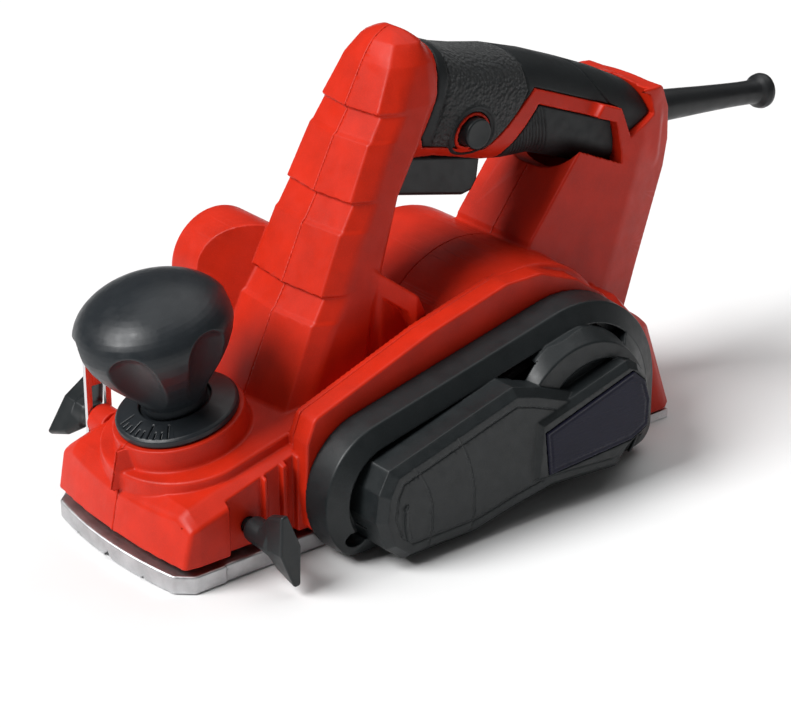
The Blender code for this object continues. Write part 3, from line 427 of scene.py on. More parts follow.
def thin_out(obj, keep):
    """Collapse edges until only a share of the triangles is left."""
    modifier = obj.modifiers.new("thin", 'DECIMATE')
    modifier.ratio = keep
    graph = bpy.context.evaluated_depsgraph_get()
    mesh = bpy.data.meshes.new_from_object(obj.evaluated_get(graph))
    obj.modifiers.clear()
    old = obj.data
    obj.data = mesh
    bpy.data.meshes.remove(old)


def vertex_array(mesh):
    places = np.empty(len(mesh.vertices) * 3, dtype=np.float32)
    mesh.vertices.foreach_get("co", places)
    return places.reshape(-1, 3).astype(float)


def fine_mesh(name, field, low, high, step, finish, keep=0.4, soft=0.3):
    """Closed mesh of a field inside a box, with normals taken from the field."""
    low = [v - 1.37 * step for v in low]
    shape = [int(math.ceil((high[k] + 2 * step - low[k]) / step)) + 1 for k in range(3)]
    places, quads = net(node_values(field, low, step, shape), low, step)
    for _ in range(RELAX_ROUNDS):
        places = settle(field, relax(places, quads), step)
    places = settle(field, places, step)
    obj = new_object(name, quad_mesh(name, places, quads), finish)
    if keep < 1.0:
        thin_out(obj, keep)
    mesh = obj.data
    places = settle(field, vertex_array(mesh) / MM, 0.3 * step)
    mesh.vertices.foreach_set("co", (places * MM).astype(np.float32).ravel())
    normals = slope(field, places, soft)[1]
    normals /= np.maximum(np.linalg.norm(normals, axis=1), 1e-9)[:, None]
    mesh.shade_smooth()
    mesh.normals_split_custom_set_from_vertices(normals.tolist())
    mesh.update()
    return obj


# ---- housing

def lower_body(x, y, z):
    """Nose, deck and heel: sloping deck, side chamfers and a bowed, backward-leaning nose."""
    across = np.abs(x)
    deck = np.interp(y, DECK_Y, DECK_Z)
    wall = np.interp(y, DECK_Y, WALL_Z)
    half = np.interp(y, (-186.0, -174.0), (46.0, 48.0))
    rise = deck - wall
    chamfer = ((across - half) * rise + (z - wall) * 8.5) / np.hypot(rise, 8.5)
    bow = 3.4 * (x / 45.0) ** 2
    nose = (0.212 * (z - 11.5) - (y + 185.0 - bow)) * 0.96
    corner = (across - 40.0) * 0.6 - (y + 184.0) * 0.8 - 2.0 + (z - 11.5) * 0.12
    floor = np.where(y < -69.5, 11.5, 4.6) - z
    back = y - 86.5 + (z - 4.6) * 0.362
    heel = meet(back * 0.94, (across - 48.0) * 0.79 + (back + 6.1) * 0.58, 0.8)
    body = meet(meet(z - deck, chamfer, 0.8) * 0.95, across - half, 1.2)
    body = meet(body, meet(nose, corner, 1.0), 1.6)
    return meet(meet(body, heel, 1.5), floor, 0.6)


def raised_deck(x, y, z):
    """Plate round the knob whose top follows the knob's tilt."""
    ahead = np.minimum(y + 150.0, 0.0)
    plan = (np.hypot(x / 38.5, ahead / 30.5) - 1.0) * 33.0
    top = (z - 45.2 - DECK_SLOPE * (y + 148.3)) * math.cos(KNOB_TILT)
    return meet(np.maximum(meet(plan, top, 1.2), y + 85.0), 25.0 - z)


def knob_collar(x, y, z):
    """Round collar under the scale ring, with its pointer rib in front."""
    radius, height = round_knob(x, y, z)
    side = radius - (27.6 - 0.08 * (height + 1.6))
    collar = meet(side, np.maximum(height + 1.6, -18.0 - height), 0.7)
    ahead = RING_CENTRE[1] - y
    fin = np.abs(x) * 0.87 + (ahead - 30.2) * 0.5 + height * 0.12
    fin = np.maximum(fin, np.maximum(height + 2.4, -18.0 - height))
    return unite(collar, np.maximum(fin, 24.0 - ahead), 0.4)


def front_arm(x, y, z):
    """Leaning arm with a crowned front, two facets and three stepped bands."""
    across = np.abs(x)
    front = np.interp(z, ARM_Z, ARM_FRONT)
    rear = np.interp(z, ARM_Z, ARM_REAR)
    half = np.interp(z, ARM_Z, ARM_HALF)
    for top, bottom in ARM_NOTCHES:
        heights = (bottom - 1.3, bottom, top, top + 1.0)
        front = front + NOTCH_DEPTH * np.interp(z, heights, (0.0, 0.45, 1.0, 0.0))
    crown = 2.4 * (1.0 - across / np.maximum(half, 2.0))
    face = (front - crown - y) * 0.88
    facet = ((across - half) * 0.89 - (y - front) * 0.445) * 0.96
    side = across - half - 4.5
    back = meet(y - rear, (across - half - 4.5 + 4.0 + (y - rear) * 1.2) * 0.64, 1.5) * 0.92
    arm = meet(meet(face, facet, 0.5), meet(side, back, 1.2), 1.2)
    crest = np.hypot(np.maximum(z - 183.0, 0.0), (y + 41.0) * 0.35) - 13.6 - 0.6 * np.maximum(183.0 - z, 0.0)
    return meet(meet(arm, crest, 3.0), 45.0 - z)


def rear_arm(x, y, z):
    """Rear post with a shallow facet along its back."""
    across = np.abs(x)
    side = outline(y, z, REAR_ARM, 2.5)
    facet = across * 0.968 + (y - 0.33 * (z - 97.0)) * 0.25 - 24.5 * 0.968 - 73.5 * 0.25
    return meet(meet(side, across - 24.5, 1.0), facet, 0.8)


def handle_bar(x, y, z):
    """Superelliptic bar, leaning section by section with the grip."""
    station = y
    for _ in range(2):
        middle = 0.5 * (np.interp(station, BAR_Y, BAR_TOP) + np.interp(station, BAR_Y, BAR_BOTTOM))
        station = y + BAR_LEAN * (z - middle)
    top = np.interp(station, BAR_Y, BAR_TOP)
    bottom = np.interp(station, BAR_Y, BAR_BOTTOM)
    half = np.interp(station, BAR_Y, BAR_HALF)
    tall = 0.5 * (top - bottom)
    u = np.abs(x) / half
    v = np.abs(z - 0.5 * (top + bottom)) / tall
    size = np.maximum((u ** BAR_POWER + v ** BAR_POWER) ** (1.0 / BAR_POWER), 0.05)
    steep = np.hypot((u / size) ** (BAR_POWER - 1.0) / half, (v / size) ** (BAR_POWER - 1.0) / tall)
    return (size - 1.0) / np.maximum(steep, 0.02) * 0.96


def bar_piece(x, y, z):
    return meet(handle_bar(x, y, z), between(y, -52.0, 94.0), 1.0)


def belt_wall(x, y, z):
    """Side wall behind the belt cover, with the groove along its inner edge."""
    shape = outline(y, z, FLANGE, 5.0)
    wall = meet(shape, between(x, 43.0, FLANGE_FACE), 1.0)
    step = meet(shape + 2.0, between(x, 38.0, 44.0))
    groove = meet(np.abs(shape + 2.0) - 1.8, between(x, 40.8, 43.0))
    return carve(unite(wall, step), groove, 0.3)


def motor_shell(x, y, z):
    drum = meet(round_bar(y, z, MOTOR, MOTOR_RADIUS), between(x, -47.0, 44.0), 2.5)
    cap = meet(round_bar(y, z, MOTOR, MOTOR_RADIUS - 4.0), between(x, -52.0, 0.0), 1.5)
    return np.maximum(unite(drum, cap, 1.0), 4.6 - z)


def gear_pad(x, y, z):
    """Angular swelling behind the front arm, over the gear end of the motor, with its pocket."""
    side = (x - np.minimum(37.0, 28.5 + (y + 70.0) * 0.6)) * 0.86
    pad = meet(outline(y, z, GEAR_PAD, 1.5), np.maximum(side, 10.0 - x), 1.2)
    pocket = np.maximum(outline(y, z, PAD_POCKET), 29.5 - x)
    return carve(pad, pocket, 0.6)


def tube_root(x, y, z):
    """End of the chip outlet inside the arm, drawn back where the tube passes ahead of it."""
    ahead = np.maximum(np.interp(z, ARM_Z, ARM_FRONT) + 6.0 - y, 0.0)
    return (x + 20.0 + 0.78 * ahead) * 0.79


def chip_tube(x, y, z):
    """Chip outlet on a short neck that stands on the deck and runs into the arm's left side."""
    tube = meet(round_bar(y, z, TUBE, TUBE_RADIUS), -58.0 - x, 3.0)
    neck = meet(outline(y, z, TUBE_NECK, 2.0), -49.5 - x, 1.5)
    return np.maximum(unite(tube, neck, 6.0), tube_root(x, y, z))


def drum_boss(x, y, z):
    """Far-side bearing boss on a round wall."""
    boss = meet(round_bar(y, z, DRUM, 17.0), between(x, -61.0, -30.0), 1.5)
    wall = meet(round_bar(y, z, DRUM, 31.0), between(x, -52.5, -30.0), 1.5)
    return np.maximum(unite(boss, wall, 1.0), 11.5 - z)


def side_recess(x, y, z):
    """Sunk panel on the belt side that holds the guide screw, with two ribs left standing."""
    sunk = block(x, y, z, (44.8, -159.5, 0.0), (60.0, -126.4, 80.0))
    ribs = np.minimum(between(y, -142.2, -140.6), between(y, -133.2, -130.8))
    ribs = np.maximum(ribs, x - 47.6)
    return carve(sunk, ribs, 0.3)


def housing_rooms(x, y, z):
    """Nose room, drum and motor chambers, the way to the chip outlet, arm, post and bar."""
    deck = np.interp(y, DECK_Y, DECK_Z)
    wall = np.interp(y, DECK_Y, WALL_Z)
    nose = common(block(x, y, z, (-41.5, -178.0, 4.0), (41.5, -124.0, 60.0)), z - deck + 4.0,
                  np.abs(x) * 0.9 + (z - wall) * 0.4 - 38.5)
    rooms = nearest_of(
        nose,
        np.maximum(round_bar(y, z, DRUM, 27.5), between(x, -49.5, 35.5)),
        block(x, y, z, (-54.0, -121.5, -5.0), (35.5, -66.0, 12.0)),
        block(x, y, z, (-46.0, -104.0, 40.0), (-27.0, -80.0, 80.0)),
        np.maximum(round_bar(y, z, MOTOR, 41.0), between(x, -48.0, 40.0)),
        block(x, y, z, (-45.0, -50.0, 0.0), (40.0, 72.0, 26.0)))
    bearing_seat = np.maximum(round_bar(y, z, MOTOR, 12.0), between(x, -50.0, -41.0))
    return nearest_of(
        np.maximum(rooms, -bearing_seat),
        np.maximum(front_arm(x, y, z) + 4.2, between(z, 96.0, 176.0)),
        np.maximum(outline(y, z, POST_ROOM), np.abs(x) - 16.0),
        np.maximum(handle_bar(x, y, z) + 7.5, between(y, -50.0, 76.0)))


def housing_bores(x, y, z):
    """Tube bore, bearing seats, shaft and screw holes, vents, trigger slot, button hole and cable exit."""
    cuts = common(round_bar(y, z, TUBE, 20.4), tube_root(x, y, z) + 4.0, -70.0 - x)
    bores = [
        (DRUM, 13.3, 34.0, 43.0), (DRUM, 11.3, -58.0, -48.0), (DRUM, 8.0, 40.0, 60.0),
        (MOTOR, 11.3, 38.0, 46.0), (MOTOR, 7.0, 44.0, 60.0), (MOTOR, 8.3, -48.0, -38.0),
        (GUIDE_SCREW, 3.3, 36.0, 52.0), (STOP_SCREW, 3.3, -55.0, -40.0), (LOCK_BUTTON, 7.1, -30.0, 30.0)]
    bores += [(centre, 1.9, 44.0, 60.0) for centre in COVER_SCREWS]
    bores += [(centre, 1.9, -60.0, 12.0) for centre in HOUSING_SCREWS]
    bores += [(centre, 3.3, -60.0, -12.0) for centre in HOUSING_SCREWS]
    for centre, radius, low, high in bores:
        cuts = np.minimum(cuts, np.maximum(round_bar(y, z, centre, radius), between(x, low, high)))
    radius, height = round_knob(x, y, z)
    spindle = np.maximum(radius - 6.0, between(height, -60.0, 5.0))
    radius, height = turned(x, y, z, SLEEVE_START, SLEEVE_AXIS)
    cable = np.maximum(radius - 7.8, between(height, -30.0, 20.0))
    trigger_slot = block(x, y, z, (-9.6, -57.0, 105.0), (9.6, 3.5, 147.0))
    slots = np.abs(np.mod(y - MOTOR[0] + 3.0, 6.0) - 3.0) - 1.6
    fan = np.maximum(between(np.abs(y - MOTOR[0]), 11.0, 35.0), round_bar(y, z, MOTOR, 37.0))
    return nearest_of(cuts, spindle, cable, trigger_slot, common(slots, fan, between(x, -60.0, -45.0)))


def shoe_pillars(x, y, z):
    """Posts that guide the front sole's pins, each with its bore."""
    across = np.hypot(np.abs(x) - 30.0, y + 142.0)
    post = meet(across - 6.0, between(z, 17.0, 44.0), 0.5)
    return post, np.maximum(across - 3.3, between(z, 10.0, 34.0))


def grip_seats(x, y, z):
    """Sunk seats for the soft grips, with the red rim left round the lock button."""
    bar = handle_bar(x, y, z)
    seats = np.minimum(outline(y, z, GRIP_OUTLINE), outline(y, z, PAD_OUTLINE))
    seats = np.maximum(seats, np.maximum(bar - 6.0, -bar - GRIP_DEPTH - GAP))
    return np.maximum(seats, 8.5 - np.hypot(y - LOCK_BUTTON[0], z - LOCK_BUTTON[1]))


def housing(x, y, z):
    body = unite(lower_body(x, y, z), raised_deck(x, y, z), 0.6)
    body = unite(body, knob_collar(x, y, z), 1.2)
    motor = unite(motor_shell(x, y, z), gear_pad(x, y, z), 1.5)
    body = unite(body, motor, 2.5)
    body = unite(body, chip_tube(x, y, z), 3.0)
    body = unite(body, belt_wall(x, y, z), 0.6)
    body = unite(body, front_arm(x, y, z), 1.2)
    body = unite(body, rear_arm(x, y, z), 1.5)
    body = carve(body, side_recess(x, y, z), 0.5)
    body = unite(body, drum_boss(x, y, z), 0.8)
    body = unite(body, bar_piece(x, y, z), 4.0)
    body = unite(body, meet(round_bar(y, z, STOP_SCREW, 7.0), between(x, -50.9, -40.0), 0.6), 0.6)
    body = carve(body, housing_rooms(x, y, z), 0.4)
    post, bore = shoe_pillars(x, y, z)
    body = carve(np.minimum(body, post), bore)
    body = carve(body, housing_bores(x, y, z), 0.3)
    return carve(body, grip_seats(x, y, z), 0.2)


def housing_left(x, y, z):
    return np.maximum(housing(x, y, z), SEAM - x)


def housing_right(x, y, z):
    return np.maximum(housing(x, y, z), x + SEAM)


# ---- grips and controls

def soft_grip(x, y, z, points):
    bar = handle_bar(x, y, z)
    skin = meet(bar, -bar - GRIP_DEPTH, 0.3)
    window = outline(y, z, inset_outline(points, GAP), 0.8)
    return meet(skin, window, 0.7), bar


def handle_grip(x, y, z):
    """Upper soft grip with its engraved front band, rear arc and slanting line."""
    skin, bar = soft_grip(x, y, z, GRIP_OUTLINE)
    collar = 8.8 - np.hypot(y - LOCK_BUTTON[0], z - LOCK_BUTTON[1])
    rim = np.abs(collar + 2.2) - 0.7
    skin = meet(skin, collar, 0.5)
    arcs = np.minimum(line_gap(y, z, GRIP_FRONT_LINE), line_gap(y, z, GRIP_REAR_LINE))
    arcs = np.minimum(arcs, line_gap(y, z, GRIP_SLANT))
    skin = unite(skin, np.maximum(np.maximum(rim, bar - 0.5), -bar - 1.0), 0.4)
    return carve(skin, np.maximum(arcs - 0.4, -bar - 0.55), 0.2)


def lower_grip_pad(x, y, z):
    """Lower soft pad with fine upright ribs at its front."""
    skin, bar = soft_grip(x, y, z, PAD_OUTLINE)
    along = y + 0.25 * (z - 130.0)
    ribs = np.abs(np.mod(along, 1.8) - 0.9) - 0.35
    ribs = np.maximum(ribs, between(along, 12.0, 32.0))
    return carve(skin, np.maximum(ribs, -bar - 0.45), 0.15)


def depth_knob(x, y, z):
    """Domed knob with six finger scallops."""
    radius, height = round_knob(x, y, z)
    knob = outline(radius, height, KNOB_PROFILE)
    turn = np.mod(knob_turn(x, y, z) - SCALLOP_TURN + math.pi / 6.0, math.pi / 3.0) - math.pi / 6.0
    out = radius * np.cos(turn) - SCOOP_START[0]
    across = radius * np.sin(turn)
    up = height - SCOOP_START[1]
    run, rise = SCOOP_RUN
    t = np.clip((out * run + up * rise) / (run ** 2 + rise ** 2), 0.0, 1.0)
    scoop = np.sqrt((out - run * t) ** 2 + (up - rise * t) ** 2 + across ** 2) - SCOOP_RADIUS
    knob = carve(knob, scoop, 0.6)
    return carve(knob, np.maximum(radius - 4.4, height - 20.0), 0.2)


def scale_ring(x, y, z):
    """Conical skirt with engraved depth marks."""
    radius, height = round_knob(x, y, z)
    ring = outline(radius, height, RING_PROFILE, 0.35)
    turn = np.degrees(knob_turn(x, y, z))
    step = np.mod(turn + MARK_STEP * 0.5, MARK_STEP) - MARK_STEP * 0.5
    gap = np.abs(step) * math.pi / 180.0 * radius - 0.42
    number = np.round(turn / MARK_STEP)
    inner = np.where(np.mod(number, 3.0) == 0.0, 17.6, 21.0)
    marks = np.maximum(gap, np.maximum(inner - radius, radius - 24.0))
    marks = np.maximum(marks, between(turn, -112.0, -38.0) * 0.3)
    surface = 5.2 - (radius - 15.2) * 0.298
    return carve(ring, np.maximum(marks, surface - 0.7 - height))


def wing_screw(x, y, z, centre, side, face, lean, reach=62.0):
    """Thread, neck and a two-lobed wing that widens outward."""
    out = x * side
    radius = np.hypot(y - centre[0], z - centre[1])
    u = (y - centre[0]) * math.cos(lean) + (z - centre[1]) * math.sin(lean)
    v = np.abs((z - centre[1]) * math.cos(lean) - (y - centre[0]) * math.sin(lean))
    thread = meet(radius - 3.0, between(out, face - 9.0, face + 1.0), 0.3)
    neck = meet(radius - 5.4 - 0.03 * (out - face), between(out, face + 0.1, reach + 2.0), 0.8)
    long_half = np.interp(out, (reach - 4.0, reach + 2.0, reach + 12.0), (7.0, 13.0, 17.0))
    blade = (np.abs(u) - long_half) * 0.86
    thick = np.interp(out, (reach - 4.0, reach + 2.0, reach + 12.0), (5.4, 5.6, 5.0))
    flat = (v - thick * (1.0 - 0.7 * np.abs(u) / long_half)) * 0.96
    wing = meet(meet(blade, flat, 0.9), between(out, reach - 4.0, reach + 12.0), 0.9)
    return unite(unite(neck, wing, 1.2), thread)


def guide_clamp_screw(x, y, z):
    return wing_screw(x, y, z, GUIDE_SCREW, 1.0, 48.6, math.radians(100.0))


def depth_stop_screw(x, y, z):
    return wing_screw(x, y, z, STOP_SCREW, -1.0, 53.8, math.radians(45.0))


def lock_button(x, y, z):
    """Cross pin with dished ends."""
    pin = meet(np.hypot(y - LOCK_BUTTON[0], z - LOCK_BUTTON[1]) - 6.6, np.abs(x) - 25.0, 1.0)
    dish = 40.0 - np.sqrt((np.abs(x) - 64.5) ** 2 + (y - LOCK_BUTTON[0]) ** 2 + (z - LOCK_BUTTON[1]) ** 2)
    return carve(pin, -dish, 0.3)


def trigger(x, y, z):
    """Rocker trigger with a shallow finger hollow below."""
    blade = outline(y, z, ((-55.0, 145.0), (-55.0, 129.5), (-51.0, 126.8), (-8.0, 117.0), (-3.0, 118.0),
                           (0.2, 122.5), (1.6, 133.0)), 1.5)
    return meet(blade, np.abs(x) - 9.0, 2.0)


def cord_sleeve(x, y, z):
    """Bend relief that tapers to a flared end."""
    radius, height = turned(x, y, z, SLEEVE_START, SLEEVE_AXIS)
    return outline(radius, height, SLEEVE_PROFILE, 0.7)


# ---- belt cover and soles

def cover_loop(y, z):
    """Distance to the cover's outline, cut off flat above the sole."""
    loop = two_circles(y, z, COVER_FRONT, COVER_REAR)
    loop = np.minimum(loop, two_circles(y, z, COVER_REAR, COVER_HEEL))
    loop = np.minimum(loop, two_circles(y, z, COVER_FRONT, COVER_HEEL))
    return meet(loop, 3.0 - z, 3.0)


def belt_cover(x, y, z):
    """Stepped cover: chamfered rim, sunk track, raised panel, pulley bosses and badge bar."""
    loop = cover_loop(y, z)
    wall = loop - 0.08 * (RIM_X - x)
    band = (x - RIM_X + 0.53 * loop) * 0.884
    rim = np.maximum(meet(wall, band, 0.5), COVER_BACK - x)
    cover = carve(rim, np.maximum(loop + 8.6, 63.6 - x), 0.5)
    inner = (loop + 8.0) * 0.9
    t = np.clip((x - 72.0) / 7.0, 0.0, 1.0)
    boss = (np.hypot(y - 1.0, z - 40.6 + 7.6 * t) - 33.5 - 3.0 * t) * 0.8
    boss = carve(meet(boss, x - 79.0, 0.5), np.maximum(round_bar(y, z, (6.0, 31.2), 29.5), 76.2 - x), 0.4)
    web = np.maximum(outline(y, z, COVER_WEB), (x - 70.3 + 0.8 * (loop + 8.5)) * 0.78)
    raised = np.maximum(np.minimum(boss, web), np.maximum(inner, 60.0 - x))
    cover = unite(cover, raised, 0.4)
    panel = outline(y, z, PANEL, 0.8)
    panel = np.maximum(bevel(panel, x - PANEL_FACE, 3.4), 60.0 - x)
    edge = np.abs(outline(y, z, inset_outline(PANEL, 7.5))) - 0.25
    panel = carve(panel, np.maximum(edge, 84.0 - x), 0.1)
    for reach in (36.0, 58.0):
        ring = np.abs(np.hypot(y + 122.0, z - 20.0) - reach) - 0.22
        panel = carve(panel, np.maximum(ring, 84.1 - x), 0.1)
    panel = unite(panel, rotation_arrow(x, y, z), 0.2)
    cover = unite(cover, panel, 0.4)
    bar = outline(y, z, BADGE_BAR, 1.0)
    cover = unite(cover, np.maximum(bevel(bar, x - PANEL_X, 2.6), 70.0 - x), 0.5)
    cover = np.maximum(cover, 3.0 - z)
    room = np.maximum(loop + 3.0, x - 61.0)
    wheels = np.maximum(two_circles(y, z, (*DRUM, 17.0), (*MOTOR, 24.0)), x - 72.0)
    cover = carve(cover, np.minimum(room, wheels), 0.4)
    seat = np.maximum(outline(y, z, BADGE_PLATE), PANEL_X - 1.2 - x)
    cover = carve(cover, seat, 0.2)
    for centre in COVER_SCREWS:
        well = np.maximum(round_bar(y, z, centre, 3.9), 60.0 - x)
        cover = carve(cover, np.minimum(well, round_bar(y, z, centre, 2.0)), 0.3)
    return cover


def rotation_arrow(x, y, z):
    """Raised curved arrow that shows the drum's sense of turning."""
    radius = round_bar(y, z, ARROW, ARROW_RADIUS)
    turn = np.degrees(np.arctan2(z - ARROW[1], -(y - ARROW[0])))
    shaft = np.maximum(np.abs(radius) - 1.1, between(turn, -24.0, 10.0) * 0.4)
    spread = (17.0 - turn) * 0.42
    head = np.maximum(np.abs(radius) - 0.55 * spread, between(turn, 10.0, 17.0) * 0.4)
    return common(np.minimum(shaft, head), x - PANEL_FACE - 1.0, 80.0 - x)


def cover_badge(x, y, z):
    """Plain plate with a fine raised border."""
    plate = outline(y, z, inset_outline(BADGE_PLATE, GAP), 0.6)
    body = meet(plate, between(x, PANEL_X - 0.9, PANEL_X + 0.3), 0.25)
    return carve(body, np.maximum(np.abs(plate + 1.8) - 0.25, PANEL_X + 0.12 - x))


def front_shoe(x, y, z):
    """Rising sole: bowed edge, cut corners, rounded rim, V grooves and the spindle boss."""
    across = np.abs(x)
    bow = -188.0 + 4.2 * (x / 42.0) ** 2 - y
    corner = (across - 42.0) * 0.75 - (y + 183.8) * 0.66
    plan = meet(meet(bow, corner, 0.6), across - 48.0, 0.6)
    step = np.maximum(47.2 - x, -162.0 - y)
    plan = carve(plan, step, 0.3)
    rear = y + 106.5 + np.maximum(z + 1.0, 0.0) * 0.92
    plate = meet(meet(plan, between(z, 0.0, 8.0), 0.9), rear * 0.74, 0.3)
    for centre, wide in ((-24.0, 1.6), (0.0, 3.2), (24.0, 1.6)):
        plate = carve(plate, np.maximum((np.abs(x - centre) + z - wide) * 0.7, -200.0 - y), 0.2)
    boss = meet(np.hypot(x, y + 142.0) - 11.0, between(z, 6.0, 24.0), 0.6)
    radius, height = round_knob(x, y, z)
    return carve(unite(plate, boss, 0.8), np.maximum(radius - 5.6, between(height, -46.5, -20.0)), 0.3)


# ---- materials

class Nodes:
    """Short way to build a material's node tree."""

    def __init__(self, name, colour, roughness, metallic=0.0):
        self.material = bpy.data.materials.new(name)
        self.material.use_nodes = True
        self.tree = self.material.node_tree
        self.shader = self.tree.nodes["Principled BSDF"]
        self.shader.inputs["Base Color"].default_value = (*colour, 1.0)
        self.shader.inputs["Roughness"].default_value = roughness
        self.shader.inputs["Metallic"].default_value = metallic
        self.place = self.add("ShaderNodeTexCoord").outputs["Object"]

    def add(self, kind, **settings):
        node = self.tree.nodes.new(kind)
        for key, value in settings.items():
            setattr(node, key, value)
        return node

    def link(self, source, target):
        self.tree.links.new(source, target)

    def noise(self, size_mm, detail=2.0, rough=0.5, stretch=None):
        """Noise whose features are about size_mm across."""
        node = self.add("ShaderNodeTexNoise")
        node.inputs["Scale"].default_value = 1000.0 / size_mm
        node.inputs["Detail"].default_value = detail
        node.inputs["Roughness"].default_value = rough
        self.link(self.stretched(stretch), node.inputs["Vector"])
        return node.outputs["Fac"]

    def stretched(self, stretch):
        if not stretch:
            return self.place
        mapping = self.add("ShaderNodeMapping")
        mapping.inputs["Scale"].default_value = stretch
        self.link(self.place, mapping.inputs["Vector"])
        return mapping.outputs["Vector"]

    def cells(self, size_mm):
        node = self.add("ShaderNodeTexVoronoi", feature='SMOOTH_F1')
        node.inputs["Scale"].default_value = 1000.0 / size_mm
        node.inputs["Smoothness"].default_value = 0.6
        self.link(self.place, node.inputs["Vector"])
        return node.outputs["Distance"]

    def spread(self, value, low, high, start=0.3, end=0.7):
        """Map a value's working range onto low..high."""
        node = self.add("ShaderNodeMapRange")
        for key, number in (("From Min", start), ("From Max", end), ("To Min", low), ("To Max", high)):
            node.inputs[key].default_value = number
        self.link(value, node.inputs["Value"])
        return node.outputs["Result"]

    def blend(self, amount, first, second):
        """Mix two colours, or a colour and a node's output."""
        node = self.add("ShaderNodeMix", data_type='RGBA')
        self.link(amount, node.inputs[0])
        for socket, value in ((node.inputs[6], first), (node.inputs[7], second)):
            if isinstance(value, tuple):
                socket.default_value = (*value, 1.0)
            else:
                self.link(value, socket)
        return node.outputs[2]

    def edge(self, start=0.53, end=0.62):
        """Strength of the lightening on outward edges: wear on moulded plastic, a painted highlight on bare
        metal.
        """
        pointy = self.add("ShaderNodeNewGeometry").outputs["Pointiness"]
        return self.spread(pointy, 0.0, 1.0, start, end)

    def wave(self, direction, scale, distortion=0.0):
        """Even stripes across one direction."""
        node = self.add("ShaderNodeTexWave", bands_direction=direction)
        node.inputs["Scale"].default_value = scale
        node.inputs["Distortion"].default_value = distortion
        self.link(self.place, node.inputs["Vector"])
        return node.outputs["Fac"]

    def bump(self, height, strength, depth_mm):
        node = self.add("ShaderNodeBump")
        node.inputs["Strength"].default_value = strength
        node.inputs["Distance"].default_value = depth_mm * MM
        last = self.shader.inputs["Normal"]
        if last.is_linked:
            self.link(last.links[0].from_socket, node.inputs["Normal"])
        self.link(height, node.inputs["Height"])
        self.link(node.outputs["Normal"], last)

    def set(self, socket, value):
        self.link(value, self.shader.inputs[socket])


def lighter(colour, factor):
    return tuple(min(1.0, c * factor) for c in colour)


def moulded(name, colour, roughness, grain_mm=0.55, grain=0.25, mottle=0.12, wear=1.35, shine=0.35):
    """Moulded plastic: spark-eroded grain, faint mottling, polished and paler on its edges."""
    n = Nodes(name, colour, roughness)
    broad = n.noise(14.0, 3.0)
    grit = n.noise(grain_mm, 2.0, 0.6)
    tone = n.blend(n.spread(broad, 0.0, 1.0), lighter(colour, 1.0 - mottle), lighter(colour, 1.0 + mottle))
    tone = n.blend(n.spread(grit, 0.0, 0.5, 0.45, 0.75), tone, lighter(colour, wear))
    n.set("Base Color", n.blend(n.spread(n.edge(), 0.0, 0.5, 0.0, 1.0), tone, lighter(colour, wear)))
    n.set("Roughness", n.spread(n.noise(5.0, 3.0), roughness - 0.06, roughness + 0.08))
    n.bump(grit, grain, 0.12)
    n.shader.inputs["Specular IOR Level"].default_value = shine
    return n.material


def leathery(name, colour, cell_mm, depth):
    """Soft grip with a leather-like cell grain."""
    n = Nodes(name, colour, 0.6)
    cell = n.cells(cell_mm)
    pale = n.spread(cell, 0.0, 1.0, 0.1, 0.6)
    n.set("Base Color", n.blend(pale, lighter(colour, 1.5), lighter(colour, 0.6)))
    n.set("Roughness", n.spread(n.noise(3.0, 3.0), 0.5, 0.68))
    n.bump(n.noise(0.5, 2.0), 0.15, 0.08)
    n.bump(cell, depth, 0.9)
    n.shader.inputs["Sheen Weight"].default_value = 0.08
    return n.material


def metal(name, colour, roughness, streak=(1.0, 1.0, 1.0), grain_mm=1.2, depth=0.2, dark=0.75):
    """Bare metal with tool marks along one direction, small stains and a painted highlight that makes its
    edges brighter.
    """
    n = Nodes(name, colour, roughness, 1.0)
    marks = n.noise(grain_mm, 4.0, 0.65, streak)
    stain = n.noise(9.0, 4.0)
    tone = n.blend(n.spread(stain, 0.0, 1.0, 0.35, 0.7), colour, lighter(colour, dark))
    # painted highlight: outward edges are painted brighter than the metal's own colour
    n.set("Base Color", n.blend(n.edge(), tone, lighter(colour, 1.2)))
    n.set("Roughness", n.spread(marks, roughness - 0.08, roughness + 0.14))
    n.bump(marks, depth, 0.1)
    return n.material


def rubber_belt(name):
    """Ribbed belt rubber, dusty on its back."""
    n = Nodes(name, (0.02, 0.02, 0.021), 0.7)
    dust = n.spread(n.noise(2.5, 4.0), 0.0, 0.6)
    n.set("Base Color", n.blend(dust, (0.014, 0.014, 0.015), (0.06, 0.055, 0.05)))
    n.bump(n.wave('X', 130.0), 0.4, 0.3)
    n.bump(n.noise(0.7), 0.2, 0.1)
    return n.material


def gloss_plate(name):
    """Smooth printed plate with a soft mottle and fine scratches."""
    n = Nodes(name, (0.006, 0.006, 0.02), 0.22)
    n.set("Base Color", n.blend(n.noise(20.0, 3.0), (0.004, 0.004, 0.014), (0.011, 0.011, 0.03)))
    n.set("Roughness", n.spread(n.noise(1.2, 4.0, 0.6, (1.0, 0.15, 1.0)), 0.16, 0.34))
    n.bump(n.noise(6.0), 0.05, 0.1)
    n.shader.inputs["Specular IOR Level"].default_value = 0.15
    return n.material


def wound_copper(name):
    """Varnished copper wire lying in turns."""
    n = Nodes(name, (0.5, 0.19, 0.08), 0.35, 1.0)
    wire = n.wave('DIAGONAL', 330.0, 1.2)
    n.set("Base Color", n.blend(wire, (0.22, 0.07, 0.03), (0.62, 0.25, 0.1)))
    n.set("Roughness", n.spread(n.noise(2.0), 0.28, 0.5))
    n.bump(wire, 0.6, 0.3)
    return n.material


def laminated_steel(name):
    """Stacked core sheets seen edge on."""
    n = Nodes(name, (0.16, 0.16, 0.17), 0.45, 1.0)
    sheets = n.wave('X', 320.0)
    n.set("Base Color", n.blend(sheets, (0.07, 0.07, 0.075), (0.26, 0.26, 0.27)))
    n.set("Roughness", n.spread(n.noise(3.0, 3.0), 0.35, 0.6))
    n.bump(sheets, 0.4, 0.15)
    return n.material


